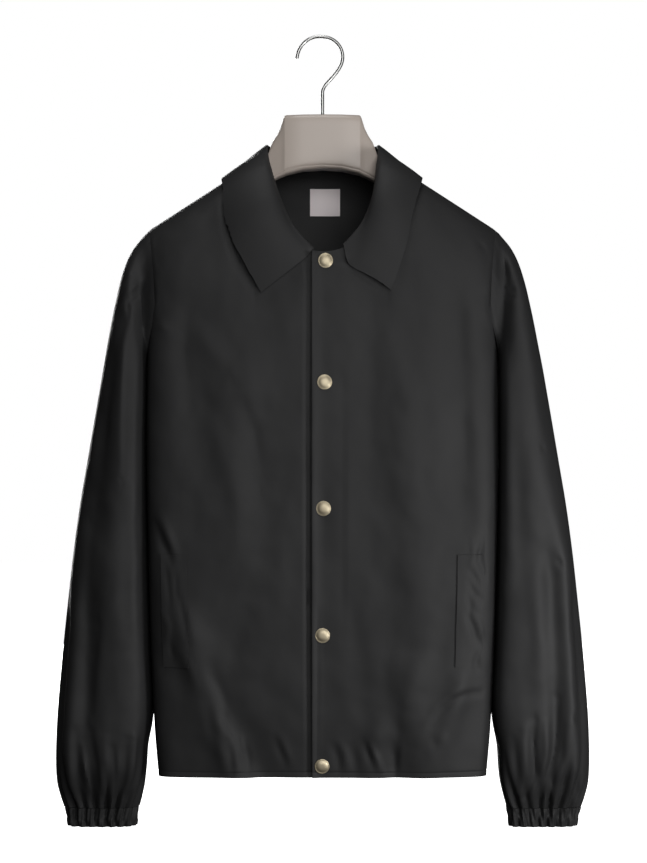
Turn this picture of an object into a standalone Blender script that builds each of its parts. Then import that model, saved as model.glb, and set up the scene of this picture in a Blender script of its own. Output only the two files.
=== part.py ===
import bpy
import bmesh
import math
from bisect import bisect_right
from collections import defaultdict, namedtuple
from mathutils import Vector
from mathutils.bvhtree import BVHTree

# A coach jacket, snapped shut, hanging on a contoured hanger with a wire hook.
# Lengths are in metres: +X is the wearer's left, -Y the front, +Z up.
# The origin is the underside of the hook's crown, where a rail carries it.

SHELL_WALL = 0.0012
COLLAR_WALL = 0.0016
CUFF_WALL = 0.0015
LABEL_WALL = 0.0010
SEAM_GAP = 0.0003
MITRE_LIMIT = 0.35

HEM_Z = -0.843
NOTCH_Z = -0.310
NECK_HALF = 0.072
NECK_SIDE_Z = -0.1395
FRONT_NECK_Z = -0.2495
BACK_NECK_Z = -0.1530
SHOULDER_HALF = 0.200
SHOULDER_FALL = 0.648
ARMHOLE_DROP = 0.076
ARCH_STEPS = 8
SIDE_STEPS = 6

# How square the sections are: 2 is an ellipse, more is boxier.
BODY_POWER = 5.5
ARCH_POWER = 2.3
SLEEVE_POWER = 3.4
FRONT_NECK_POWER = 2.2
BACK_NECK_POWER = 2.4

LAP_OVER = 0.012
LAP_UNDER = 0.017
LAP_LIFT = SHELL_WALL + 0.0004
LAP_FADE = (0.025, 0.060)

SLEEVE_END_Z = -0.881
CUFF_TOP_Z = SLEEVE_END_Z - SEAM_GAP
CUFF_END_Z = -0.903
AROUND_SLEEVE = 28
GATHERS = 20
GATHER_DEPTH = 0.0026
GATHER_REACH = 0.085
CUFF_RIPPLE = 0.0015

COLLAR_FOLD = 0.0025
COLLAR_CLEAR = 0.0028
COLLAR_STEP = 0.020
COLLAR_END_RIGHT = 0.0106
FALL_STEPS = 4

SNAP_RADIUS = 0.0085
SNAP_RISE = 0.0042

WIRE = 0.0019
HOOK_RADIUS = 0.0232
HOOK_OPENING = 0.000066
STEM_TOP_Z = -0.063
BORE_DEPTH = 0.014
HANGER_TOP_Z = -0.0886
HANGER_SEAT = 0.0005

Section = namedtuple("Section", "z half_width front back")
BODY = (
    Section(-0.841, 0.1870, 0.058, 0.054),
    Section(-0.784, 0.1915, 0.064, 0.060),
    Section(-0.700, 0.1950, 0.069, 0.065),
    Section(-0.590, 0.1980, 0.073, 0.069),
    Section(-0.470, 0.2000, 0.075, 0.071),
    Section(-0.386, 0.1990, 0.075, 0.071),
    Section(-0.310, 0.1980, 0.074, 0.070),
)

# Lines up the panels: where each crosses the notch line, and where it ends on
# the neck or the shoulder.
Column = namedtuple("Column", "notch_x top_x")
COLUMNS = (
    Column(0.000, 0.0000),
    Column(0.017, 0.0240),
    Column(0.034, 0.0420),
    Column(0.050, 0.0560),
    Column(0.064, 0.0650),
    Column(0.075, 0.0700),
    Column(0.083, 0.0714),
    Column(0.090, 0.0719),
    Column(0.098, NECK_HALF),
    Column(0.112, 0.0980),
    Column(0.131, 0.1240),
    Column(0.152, 0.1500),
    Column(0.167, 0.1680),
    Column(0.182, 0.1860),
    Column(0.190, SHOULDER_HALF),
)
NECK_COLUMNS = 9
WELT_COLUMNS = slice(11, 14)

# Heights of the panels' rows below the notch. The welts run from POCKET_LOW to POCKET_TOP.
POCKET_LOW = -0.720
POCKET_TOP = -0.589
ROWS = (HEM_Z, -0.800, -0.760, POCKET_LOW, -0.676, -0.632, POCKET_TOP,
        -0.540, -0.490, -0.440, -0.390, NOTCH_Z)
WELT_ROWS = slice(ROWS.index(POCKET_LOW), ROWS.index(POCKET_TOP) + 1)

# The largest folds of the body, as ridges (depth over 0) and troughs between two ends.
Fold = namedtuple("Fold", "panel x0 z0 x1 z1 half_width depth")
FOLDS = (
    Fold("front", -0.146, -0.690, -0.092, -0.850, 0.021, 0.0060),
    Fold("front", -0.120, -0.745, -0.062, -0.850, 0.019, -0.0045),
    Fold("front", 0.060, -0.800, 0.052, -0.850, 0.014, 0.0040),
    Fold("front", 0.086, -0.790, 0.082, -0.850, 0.013, -0.0035),
    Fold("front", 0.160, -0.740, 0.120, -0.830, 0.017, 0.0050),
    Fold("front", 0.150, -0.330, 0.158, -0.520, 0.022, -0.0030),
    Fold("front", -0.146, -0.340, -0.138, -0.470, 0.022, -0.0025),
    Fold("front", 0.092, -0.420, 0.110, -0.640, 0.024, 0.0035),
    Fold("front", -0.090, -0.400, -0.100, -0.600, 0.024, 0.0030),
    Fold("back", -0.120, -0.300, -0.090, -0.560, 0.026, 0.0055),
    Fold("back", 0.124, -0.310, 0.100, -0.600, 0.026, 0.0060),
    Fold("back", -0.050, -0.430, -0.040, -0.850, 0.026, -0.0050),
    Fold("back", 0.060, -0.520, 0.070, -0.850, 0.024, -0.0055),
    Fold("back", 0.008, -0.560, 0.016, -0.850, 0.026, 0.0050),
    Fold("back", -0.130, -0.660, -0.110, -0.850, 0.020, 0.0060),
)

# The sleeve's outer and inner lines in front view, and its depth.
SleeveLine = namedtuple("SleeveLine", "z x")
SLEEVE_OUTER = (
    SleeveLine(-0.8810, 0.2945),
    SleeveLine(-0.8530, 0.3025),
    SleeveLine(-0.8070, 0.3050),
    SleeveLine(-0.7380, 0.3010),
    SleeveLine(-0.6460, 0.2920),
    SleeveLine(-0.5540, 0.2810),
    SleeveLine(-0.4700, 0.2670),
    SleeveLine(-0.3950, 0.2540),
    SleeveLine(-0.3300, 0.2425),
    SleeveLine(-0.2800, 0.2310),
    SleeveLine(-0.2590, 0.2240),
    SleeveLine(-0.2430, 0.2160),
    SleeveLine(-0.2325, 0.2080),
)
SLEEVE_INNER = (
    SleeveLine(-0.8810, 0.2125),
    SleeveLine(-0.8530, 0.2053),
    SleeveLine(-0.8260, 0.2020),
    SleeveLine(-0.8070, 0.2003),
    SleeveLine(-0.7880, 0.1962),
    SleeveLine(-0.7700, 0.1935),
    SleeveLine(-0.7000, 0.1960),
    SleeveLine(-0.6000, 0.1989),
    SleeveLine(-0.5000, 0.2006),
    SleeveLine(-0.4500, 0.2009),
    SleeveLine(-0.4070, 0.2004),
    SleeveLine(-0.3940, 0.2005),
    SleeveLine(-0.3900, 0.2006),
    SleeveLine(-0.3875, 0.2005),
)
SleeveDepth = namedtuple("SleeveDepth", "z half_depth centre_y")
SLEEVE_DEPTH = (
    SleeveDepth(-0.8810, 0.0270, -0.004),
    SleeveDepth(-0.8700, 0.0335, -0.004),
    SleeveDepth(-0.8530, 0.0450, -0.003),
    SleeveDepth(-0.8400, 0.0530, -0.002),
    SleeveDepth(-0.8000, 0.0620, 0.000),
    SleeveDepth(-0.6800, 0.0690, 0.001),
    SleeveDepth(-0.5200, 0.0780, 0.003),
    SleeveDepth(-0.4000, 0.0820, 0.004),
    SleeveDepth(-0.3550, 0.0785, 0.004),
    SleeveDepth(-0.3265, 0.0700, 0.002),
    SleeveDepth(-0.3100, 0.0580, 0.001),
)

# Rings down the sleeve, each from a height on its outer line to one on its inner line.
Ring = namedtuple("Ring", "outer_z inner_z")
SLEEVE_RINGS = (
    Ring(-0.2325, -0.3875),
    Ring(-0.2430, -0.3900),
    Ring(-0.2590, -0.3940),
    Ring(-0.2800, -0.4000),
    Ring(-0.3030, -0.4090),
    Ring(-0.3300, -0.4230),
    Ring(-0.3620, -0.4430),
    Ring(-0.3980, -0.4690),
    Ring(-0.4390, -0.5010),
    Ring(-0.4850, -0.5390),
    Ring(-0.5350, -0.5810),
    Ring(-0.5880, -0.6260),
    Ring(-0.6420, -0.6720),
    Ring(-0.6950, -0.7160),
    Ring(-0.7420, -0.7550),
    Ring(-0.7800, -0.7870),
    Ring(-0.8100, -0.8130),
    Ring(-0.8340, -0.8350),
    Ring(-0.8530, -0.8530),
    Ring(-0.8680, -0.8680),
    Ring(SLEEVE_END_Z, SLEEVE_END_Z),
)
FINE_RING_Z = -0.790

# Long folds of the sleeves. Around runs 0 to 1 from the outer line over the front.
SleeveFold = namedtuple("SleeveFold", "side around top_z low_z half_width depth")
SLEEVE_FOLDS = (
    SleeveFold(1, 0.125, -0.660, -0.860, 0.012, -0.0050),
    SleeveFold(1, 0.205, -0.620, -0.850, 0.012, -0.0045),
    SleeveFold(1, 0.165, -0.600, -0.840, 0.011, 0.0035),
    SleeveFold(1, 0.100, -0.280, -0.330, 0.014, -0.0060),
    SleeveFold(1, 0.170, -0.330, -0.520, 0.016, -0.0040),
    SleeveFold(1, 0.830, -0.560, -0.840, 0.016, -0.0050),
    SleeveFold(-1, 0.110, -0.680, -0.860, 0.012, -0.0045),
    SleeveFold(-1, 0.200, -0.650, -0.850, 0.012, -0.0045),
    SleeveFold(-1, 0.155, -0.560, -0.800, 0.013, 0.0030),
    SleeveFold(-1, 0.190, -0.320, -0.540, 0.016, -0.0045),
    SleeveFold(-1, 0.790, -0.600, -0.840, 0.016, -0.0050),
)

# The outer front of the wearer's right sleeve turns away: how far back, and from which
# share of the sleeve's width outwards.
OUTER_TURN = 0.012
TURN_FROM = 0.42

# The collar, from the wearer's right front end (-2) over the right neck side (-1),
# centre back (0) and left neck side (1) to the left front end (2): the top of its
# fold, its outer edge, how far the fall bows out between them, and how far it droops.
Collar = namedtuple("Collar", "station fold_x fold_y fold_z edge_x edge_y edge_z bow droop")
COLLAR = (
    Collar(-2.00, -0.0106, -0.0740, -0.2450, -0.0686, -0.0740, -0.2955, 0.003, 0.002),
    Collar(-1.75, -0.0330, -0.0695, -0.2187, -0.0945, -0.0720, -0.2480, 0.005, 0.001),
    Collar(-1.50, -0.0472, -0.0585, -0.1870, -0.1055, -0.0600, -0.2130, 0.008, 0.000),
    Collar(-1.25, -0.0585, -0.0355, -0.1510, -0.1085, -0.0390, -0.1805, 0.005, 0.000),
    Collar(-1.00, -0.0633, 0.0000, -0.1240, -0.1105, 0.0000, -0.1645, 0.001, 0.000),
    Collar(-0.75, -0.0598, 0.0195, -0.1225, -0.1030, 0.0290, -0.1680, 0.002, 0.000),
    Collar(-0.50, -0.0455, 0.0335, -0.1220, -0.0860, 0.0450, -0.1740, 0.004, 0.000),
    Collar(-0.25, -0.0235, 0.0425, -0.1222, -0.0500, 0.0570, -0.1820, 0.006, 0.000),
    Collar(0.00, 0.0000, 0.0455, -0.1220, 0.0000, 0.0620, -0.1860, 0.006, 0.000),
    Collar(0.25, 0.0235, 0.0425, -0.1222, 0.0500, 0.0570, -0.1820, 0.006, 0.000),
    Collar(0.50, 0.0455, 0.0335, -0.1220, 0.0860, 0.0450, -0.1740, 0.004, 0.000),
    Collar(0.75, 0.0603, 0.0195, -0.1225, 0.1030, 0.0290, -0.1680, 0.002, 0.000),
    Collar(1.00, 0.0640, 0.0000, -0.1240, 0.1100, 0.0000, -0.1640, 0.001, 0.000),
    Collar(1.25, 0.0612, -0.0335, -0.1490, 0.1065, -0.0390, -0.1800, 0.005, 0.000),
    Collar(1.50, 0.0565, -0.0545, -0.1830, 0.0995, -0.0600, -0.2130, 0.008, 0.000),
    Collar(1.75, 0.0448, -0.0675, -0.2145, 0.0925, -0.0720, -0.2480, 0.005, 0.005),
    Collar(2.00, 0.0240, -0.0750, -0.2405, 0.0770, -0.0740, -0.2930, 0.002, 0.021),
)
DROOP_START = 0.06

Snap = namedtuple("Snap", "x z")
SNAPS = (
    Snap(0.0034, -0.2600),
    Snap(0.0023, -0.3965),
    Snap(0.0011, -0.5384),
    Snap(0.0000, -0.6814),
    Snap(-0.0006, -0.8296),
)

Label = namedtuple("Label", "left right top low")
LABEL = Label(-0.0146, 0.0205, -0.1680, -0.1995)

# Sections of the hanger's middle, half of it, out to where its arm lies under the shoulder.
HangerSection = namedtuple("HangerSection", "x top low half_depth")
HANGER_MIDDLE = (
    HangerSection(0.0000, HANGER_TOP_Z, -0.1510, 0.0210),
    HangerSection(0.0220, -0.0890, -0.1525, 0.0210),
    HangerSection(0.0437, -0.0914, -0.1580, 0.0205),
    HangerSection(0.0485, -0.1050, -0.1600, 0.0185),
    HangerSection(0.0520, -0.1120, -0.1615, 0.0170),
    HangerSection(0.0575, -0.1205, -0.1645, 0.0150),
    HangerSection(0.0605, -0.1280, -0.1660, 0.0140),
    HangerSection(0.0645, -0.1400, -0.1685, 0.0130),
    HangerSection(0.0740, -0.1480, -0.1745, 0.0130),
)
HangerArm = namedtuple("HangerArm", "x height half_depth")
HANGER_ARM = (
    HangerArm(0.090, 0.031, 0.0150),
    HangerArm(0.115, 0.034, 0.0190),
    HangerArm(0.145, 0.034, 0.0210),
    HangerArm(0.172, 0.031, 0.0205),
    HangerArm(0.184, 0.025, 0.0180),
    HangerArm(0.189, 0.014, 0.0110),
)
AROUND_HANGER = 16
HANGER_POWER = 2.8


def clear_scene():
    for thing in list(bpy.data.objects):
        bpy.data.objects.remove(thing, do_unlink=True)


def new_collection(name):
    collection = bpy.data.collections.new(name)
    bpy.context.scene.collection.children.link(collection)
    return collection


def finish_material(name, colour, roughness, metallic=0.0):
    material = bpy.data.materials.new(name)
    material.use_nodes = True
    shader = material.node_tree.nodes["Principled BSDF"]
    shader.inputs["Base Color"].default_value = (*colour, 1.0)
    shader.inputs["Roughness"].default_value = roughness
    shader.inputs["Metallic"].default_value = metallic
    return material


def ease(share):
    share = min(max(share, 0.0), 1.0)
    return share * share * (3 - 2 * share)


def read(rows, name, at):
    # A column of a table at any place along its first column, on a smooth curve.
    keys = [row[0] for row in rows]
    values = [getattr(row, name) for row in rows]
    at = min(max(at, keys[0]), keys[-1])
    low = min(bisect_right(keys, at), len(keys) - 1) - 1

    def slope(i):
        before, after = max(i - 1, 0), min(i + 1, len(keys) - 1)
        return (values[after] - values[before]) / (keys[after] - keys[before])

    span = keys[low + 1] - keys[low]
    t = (at - keys[low]) / span
    return ((1 + 2 * t) * (1 - t) ** 2 * values[low] + t * (1 - t) ** 2 * span * slope(low)
            + t * t * (3 - 2 * t) * values[low + 1] + t * t * (t - 1) * span * slope(low + 1))


def key(point):
    return tuple(round(value, 5) for value in point)


class Sheet:
    # An open cloth surface whose faces look at its right side.
    def __init__(self):
        self.points = []
        self.faces = []
        self.index = {}

    def add_point(self, point):
        place = key(point)
        if place not in self.index:
            self.index[place] = len(self.points)
            self.points.append(point)
        return self.index[place]

    def add_face(self, face, flip):
        self.faces.append(face[::-1] if flip else face)

    def add_grid(self, rows, flip=False, closed=False):
        grid = [[self.add_point(point) for point in row] for row in rows]
        count = len(grid[0])
        for low, high in zip(grid, grid[1:]):
            for i in range(count if closed else count - 1):
                after = (i + 1) % count
                self.add_face((low[i], low[after], high[after]), flip)
                self.add_face((low[i], high[after], high[i]), flip)

    def add_band(self, upper, lower, flip=False):
        # Joins two closed rings with unlike numbers of points.
        first = [self.add_point(point) for point in upper]
        second = [self.add_point(point) for point in lower]
        i = j = 0
        while i < len(first) or j < len(second):
            a, b = first[i % len(first)], second[j % len(second)]
            if (i + 1) * len(second) <= (j + 1) * len(first) and i < len(first):
                face = (a, first[(i + 1) % len(first)], b)
                i += 1
            else:
                face = (a, second[(j + 1) % len(second)], b)
                j += 1
            self.add_face(face, flip)


def wall_directions(families, level_edges=()):
    # One direction for each place, so that walls meet squarely where sheets are sewn.
    # It is mitred where a place belongs to two families, such as body and sleeve.
    directions = {}
    for sheets in families:
        total = defaultdict(Vector)
        for sheet in sheets:
            for face in sheet.faces:
                a, b, c = (sheet.points[i] for i in face)
                for corner in (a, b, c):
                    total[key(corner)] += (b - a).cross(c - a)
        for place, normal in total.items():
            normal.normalize()
            other = directions.get(place, normal)
            directions[place] = (normal + other) / max(1 + normal.dot(other), MITRE_LIMIT)
    for place, direction in directions.items():
        if any(abs(place[2] - edge) < SEAM_GAP / 2 for edge in level_edges):
            direction.z = 0.0
            direction.normalize()
    return directions


def seam_allowance(mesh, gap):
    # Half the gap for each edge point, straight back from the sheet's edges.
    inward = defaultdict(list)
    for edge in mesh.edges:
        if edge.is_boundary:
            loop = edge.link_loops[0]
            start, end = loop.vert, loop.link_loop_next.vert
            back = loop.face.normal.cross(end.co - start.co).normalized()
            inward[start.index].append(back)
            inward[end.index].append(back)
    return {i: gap / 2 * (a + b) / (1 + a.dot(b)) for i, (a, b) in inward.items()}


def cloth(name, sheet, directions, low, high, material, collection, gap=SEAM_GAP):
    # Gives a sheet its wall, from low to high along the directions, and closes its edges.
    surface = bmesh.new()
    for point in sheet.points:
        surface.verts.new(point)
    surface.verts.ensure_lookup_table()
    for face in sheet.faces:
        surface.faces.new([surface.verts[i] for i in face])
    surface.verts.index_update()
    surface.normal_update()
    shift = seam_allowance(surface, gap)
    rims = [(edge.link_loops[0].vert.index, edge.link_loops[0].link_loop_next.vert.index)
            for edge in surface.edges if edge.is_boundary]
    surface.free()
    count = len(sheet.points)
    moved = [point + shift.get(i, Vector()) for i, point in enumerate(sheet.points)]
    across = [directions[key(point)] for point in sheet.points]
    points = [point + normal * high for point, normal in zip(moved, across)]
    points += [point + normal * low for point, normal in zip(moved, across)]
    faces = list(sheet.faces)
    faces += [tuple(i + count for i in reversed(face)) for face in sheet.faces]
    for start, end in rims:
        # Both sides of a seam split their edges on the same diagonal.
        if key(sheet.points[start]) < key(sheet.points[end]):
            faces += [(end, start, end + count), (start, start + count, end + count)]
        else:
            faces += [(end, start, start + count), (end, start + count, end + count)]
    mesh = bpy.data.meshes.new(name)
    mesh.from_pydata(points, [], faces)
    mesh.shade_smooth()
    mesh.set_sharp_from_angle(angle=math.radians(50))
    mesh.materials.append(material)
    piece = bpy.data.objects.new(name, mesh)
    collection.objects.link(piece)
    return piece


def shoulder_z(x):
    return NECK_SIDE_Z - SHOULDER_FALL * (abs(x) - NECK_HALF)


def neckline_z(panel, x):
    centre_z = FRONT_NECK_Z if panel == "front" else BACK_NECK_Z
    power = FRONT_NECK_POWER if panel == "front" else BACK_NECK_POWER
    share = min(abs(x) / NECK_HALF, 1.0)
    return NECK_SIDE_Z - (NECK_SIDE_Z - centre_z) * (1 - share ** power) ** (1 / power)


def relief(panel, x, z):
    # How far the folds stand out of the smooth panel at a place.
    height = 0.0
    for fold in FOLDS:
        if fold.panel == panel:
            run, rise = fold.x1 - fold.x0, fold.z1 - fold.z0
            length = math.hypot(run, rise)
            along = ((x - fold.x0) * run + (z - fold.z0) * rise) / length
            across = ((x - fold.x0) * rise - (z - fold.z0) * run) / length
            past = max(-along, along - length, 0.0)
            height += fold.depth * math.exp(-(across ** 2 + past ** 2) / fold.half_width ** 2)
    return height


def body_point(panel, share_x, z):
    # A place on the smooth body, share_x of the way out to its side.
    facing = -1 if panel == "front" else 1
    depth = read(BODY, panel, z) * (1 - min(abs(share_x), 1.0) ** BODY_POWER) ** (1 / BODY_POWER)
    return Vector((share_x * read(BODY, "half_width", z), facing * depth, z))


def main_point(panel, side, column, row, lift):
    # A place on the part of a panel that reaches the neck or the shoulder.
    facing = -1 if panel == "front" else 1
    share_x = side * column.notch_x / read(BODY, "half_width", NOTCH_Z)
    step = max(row - len(ROWS) + 1, 0)
    if step == 0:
        point = body_point(panel, share_x, ROWS[row])
    else:
        top_x = column.top_x
        top_z = neckline_z(panel, top_x) if top_x < NECK_HALF else shoulder_z(top_x)
        climb = (top_z - NOTCH_Z) / (shoulder_z(top_x) - NOTCH_Z)
        angle = math.asin(min(climb, 1.0) ** (ARCH_POWER / 2)) * step / ARCH_STEPS
        share = step / ARCH_STEPS
        point = body_point(panel, share_x, NOTCH_Z)
        point.x = side * (column.notch_x + (top_x - column.notch_x) * share)
        point.y *= max(math.cos(angle), 0.0) ** (2 / ARCH_POWER)
        point.z += math.sin(angle) ** (2 / ARCH_POWER) * (shoulder_z(point.x) - NOTCH_Z)
    flat = ease((COLUMNS[-1].notch_x - column.notch_x) / 0.035) * (1 - (step / ARCH_STEPS) ** 2)
    point.y += facing * flat * relief(panel, point.x, point.z)
    start, end = LAP_FADE
    point.y += facing * lift * (1 - ease((abs(point.x) - start) / (end - start)))
    return point


def side_point(panel, side, k, row):
    # A place on the part of a panel that wraps to the side seam, below the armhole.
    notch = body_point(panel, COLUMNS[-1].notch_x / read(BODY, "half_width", NOTCH_Z), NOTCH_Z)
    left_y = 1 - k / SIDE_STEPS
    depth_share = left_y * abs(notch.y) / read(BODY, panel, NOTCH_Z)
    share_x = (1 - depth_share ** BODY_POWER) ** (1 / BODY_POWER)
    arm_z = NOTCH_Z - ARMHOLE_DROP * math.sqrt(1 - left_y ** 2)
    z = HEM_Z + (ROWS[row] - HEM_Z) * (arm_z - HEM_Z) / (NOTCH_Z - HEM_Z)
    point = body_point(panel, side * share_x, z)
    if k == SIDE_STEPS:
        point.y = 0.0
    return point


def half_panel(panel, side, lap=0.0, lift=0.0):
    # The rows of one half of a panel, from the hem up: the main part and the side part.
    columns = list(COLUMNS)
    if lap:
        columns.insert(0, Column(-lap, -lap))
    main = [[main_point(panel, side, column, row, lift) for column in columns]
            for row in range(len(ROWS) + ARCH_STEPS)]
    wrap = [[main[row][-1]] + [side_point(panel, side, k, row) for k in range(1, SIDE_STEPS + 1)]
            for row in range(len(ROWS))]
    return main, wrap


def panel_sheet(panel, halves):
    sheet = Sheet()
    for side, (main, wrap) in halves:
        flip = (side < 0) == (panel == "front")
        sheet.add_grid(main, flip)
        sheet.add_grid(wrap, flip)
    return sheet


def armhole(front, back):
    # The ring of points round an armhole, from the shoulder over the front and back again.
    halves = []
    for main, wrap in (front, back):
        upper = [row[-1] for row in reversed(main[len(ROWS) - 1:])]
        halves.append(upper + wrap[-1][1:])
    return halves[0] + halves[1][-2:0:-1]


def even_ring(outer, inner, half_depth, centre_y, count, power):
    # Evenly spaced points round a flattened tube, from its outer line over the front.
    middle, reach = (outer + inner) / 2, (outer - inner) / 2
    fine = 60 * count
    curve = []
    for i in range(fine + 1):
        turn = 2 * math.pi * i / fine
        cosine, sine = math.cos(turn), math.sin(turn)
        out = math.copysign(abs(cosine) ** (2 / power), cosine)
        front = math.copysign(abs(sine) ** (2 / power), sine)
        curve.append(middle + reach * out + Vector((0.0, centre_y - half_depth * front, 0.0)))
    lengths = [0.0]
    for a, b in zip(curve, curve[1:]):
        lengths.append(lengths[-1] + (b - a).length)
    ring = []
    for i in range(count):
        goal = lengths[-1] * i / count
        at = min(max(bisect_right(lengths, goal), 1), fine)
        span = lengths[at] - lengths[at - 1]
        ring.append(curve[at - 1].lerp(curve[at], (goal - lengths[at - 1]) / span))
    return ring, lengths[-1]


def push_ring(ring, amounts):
    # Moves each point of a ring along the way that the ring faces there.
    count = len(ring)
    middle = sum(ring, Vector()) / count
    axis = (ring[0] - middle).cross(ring[count // 4] - middle)
    moved = []
    for i, point in enumerate(ring):
        out = (ring[(i + 1) % count] - ring[i - 1]).cross(axis).normalized()
        moved.append(point + out * amounts[i])
    return moved


def turn_back(ring, outer, inner, centre_y):
    # Moves a ring's outer front back, so that it faces outwards.
    for point in ring:
        share = (point.x - inner.x) / (outer.x - inner.x)
        front = ease((centre_y - point.y) / 0.012)
        upper = ease((-0.255 - point.z) / 0.070)
        lower = ease((point.z + 0.865) / 0.060)
        point.y += OUTER_TURN * ease((share - TURN_FROM) / (1 - TURN_FROM)) * front * upper * lower


def sleeve_ring(side, ring):
    middle_z = (ring.outer_z + ring.inner_z) / 2
    outer = Vector((side * read(SLEEVE_OUTER, "x", ring.outer_z), 0.0, ring.outer_z))
    inner = Vector((side * read(SLEEVE_INNER, "x", ring.inner_z), 0.0, ring.inner_z))
    fine = middle_z < FINE_RING_Z
    count = 2 * GATHERS if fine else AROUND_SLEEVE
    half_depth = read(SLEEVE_DEPTH, "half_depth", middle_z)
    centre_y = read(SLEEVE_DEPTH, "centre_y", middle_z)
    points, length = even_ring(outer, inner, half_depth, centre_y, count, SLEEVE_POWER)
    if side < 0:
        turn_back(points, outer, inner, centre_y)
    amounts = []
    for i, point in enumerate(points):
        amount = 0.0
        for fold in SLEEVE_FOLDS:
            if fold.side == side:
                apart = abs(i / count - fold.around)
                across = min(apart, 1 - apart) * length
                past = max(point.z - fold.top_z, fold.low_z - point.z, 0.0)
                fade = math.exp(-(past / 0.030) ** 2)
                amount += fold.depth * fade * math.exp(-(across / fold.half_width) ** 2)
        if fine:
            near_cuff = ease(1 - (point.z - SLEEVE_END_Z) / GATHER_REACH)
            amount += GATHER_DEPTH * near_cuff * (1 if i % 2 == 0 else -1)
        amounts.append(amount)
    return push_ring(points, amounts)


def sleeve_sheet(side, armhole_ring):
    sheet = Sheet()
    rings = [armhole_ring] + [sleeve_ring(side, ring) for ring in SLEEVE_RINGS]
    coarse = [ring for ring in rings if len(ring) == AROUND_SLEEVE]
    fine = [ring for ring in rings if len(ring) == 2 * GATHERS]
    sheet.add_grid(coarse, side < 0, closed=True)
    sheet.add_band(coarse[-1], fine[0], side < 0)
    sheet.add_grid(fine, side < 0, closed=True)
    return sheet


def cuff_sheet(side):
    # The elasticated band at the sleeve's end, rippled as the gathers above it are.
    end_outer, end_inner = SLEEVE_OUTER[0].x, SLEEVE_INNER[0].x
    end = SLEEVE_DEPTH[0]
    narrowing = 0.0033
    rings = []
    for share in (0.0, 0.5, 1.0):
        z = CUFF_TOP_Z + (CUFF_END_Z - CUFF_TOP_Z) * share
        outer = Vector((side * (end_outer - 1.3 * narrowing * share), 0.0, z))
        inner = Vector((side * (end_inner + 0.7 * narrowing * share), 0.0, z))
        half_depth = end.half_depth - 0.6 * narrowing * share
        points, _ = even_ring(outer, inner, half_depth, end.centre_y, 2 * GATHERS, SLEEVE_POWER)
        rings.append(push_ring(points, [CUFF_RIPPLE * (1 if i % 2 == 0 else -1)
                                        for i in range(2 * GATHERS)]))
    sheet = Sheet()
    sheet.add_grid(rings, side < 0, closed=True)
    return sheet


def welt_sheet(main, side):
    sheet = Sheet()
    sheet.add_grid([row[WELT_COLUMNS] for row in main[WELT_ROWS]], side < 0)
    return sheet


def neck_seam(front_right, front_left, back_right, back_left, directions):
    # Points along the neck seam in the order of the collar's stations, at most
    # COLLAR_STEP apart, each with its station and the panel's wall direction there.
    def top(main, skip=0):
        return [(point, directions[key(point)]) for point in main[-1][skip:skip + NECK_COLUMNS]]

    right = top(front_right[0], 1)
    share = COLLAR_END_RIGHT / COLUMNS[1].top_x
    right[0] = tuple(a.lerp(b, share) for a, b in zip(right[0], right[1]))
    quarters = (right, top(back_right[0])[::-1], top(back_left[0]), top(front_left[0], 2)[:-1][::-1])
    seam = []
    for start, line in enumerate(quarters, start=-2):
        total = sum((b - a).length for (a, _), (b, _) in zip(line, line[1:]))
        passed = 0.0
        for (a, facing_a), (b, facing_b) in zip(line, line[1:]):
            length = (b - a).length
            pieces = math.ceil(length / COLLAR_STEP)
            for i in range(pieces):
                share = i / pieces
                station = start + (passed + share * length) / total
                seam.append((station, a.lerp(b, share), facing_a.lerp(facing_b, share)))
            passed += length
    last, facing = quarters[-1][-1]
    return seam + [(2.0, last, facing)]


def collar_sheet(seam_points, shell):
    # The collar's hidden side: up the stand, over the fold and down the fall.
    hidden_fold = COLLAR_FOLD - COLLAR_WALL
    rows = []
    for station, seam, _ in seam_points:
        fold = Vector([read(COLLAR, "fold_" + axis, station) for axis in "xyz"])
        edge = Vector([read(COLLAR, "edge_" + axis, station) for axis in "xyz"])
        place, outward, _, _ = shell.find_nearest(edge)
        edge = place + outward * COLLAR_CLEAR
        near_seam = shell.find_nearest(seam)[1]
        rise = (fold - seam).normalized()
        apart = (near_seam - rise * near_seam.dot(rise)).normalized()
        centre = fold - rise * COLLAR_FOLD
        row = [seam, seam.lerp(centre - apart * hidden_fold, 0.5)]
        for turn in (-90, 0, 90):
            angle = math.radians(turn)
            row.append(centre + hidden_fold * (rise * math.cos(angle) + apart * math.sin(angle)))
        start = row[-1]
        bow, droop = (read(COLLAR, name, station) for name in ("bow", "droop"))
        for k in range(1, FALL_STEPS):
            share = k / FALL_STEPS
            point = start.lerp(edge, share)
            point.z -= droop * (1 - math.exp(-share / DROOP_START)) * (1 - share) ** 1.6
            outward = apart.lerp(shell.find_nearest(point)[1], share).normalized()
            point = point + outward * bow * 4 * share * (1 - share)
            place, facing, _, _ = shell.find_nearest(point)
            short = COLLAR_CLEAR - (point - place).dot(facing)
            row.append(point + facing * max(short, 0.0))
        row.append(edge)
        rows.append(row)
    sheet = Sheet()
    sheet.add_grid(rows, flip=True)
    return sheet


def label_sheet(shell):
    # The label's back, just clear of the inner face of the back panel.
    across, up = 3, 3
    rows = []
    for j in range(up + 1):
        z = LABEL.low + (LABEL.top - LABEL.low) * j / up
        row = []
        for i in range(across + 1):
            x = LABEL.left + (LABEL.right - LABEL.left) * i / across
            place, outward, _, _ = shell.ray_cast(Vector((x, 0.0, z)), Vector((0, 1, 0)))
            row.append(place - outward * (SHELL_WALL + SEAM_GAP))
        rows.append(row)
    sheet = Sheet()
    sheet.add_grid(rows)
    return sheet


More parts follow.
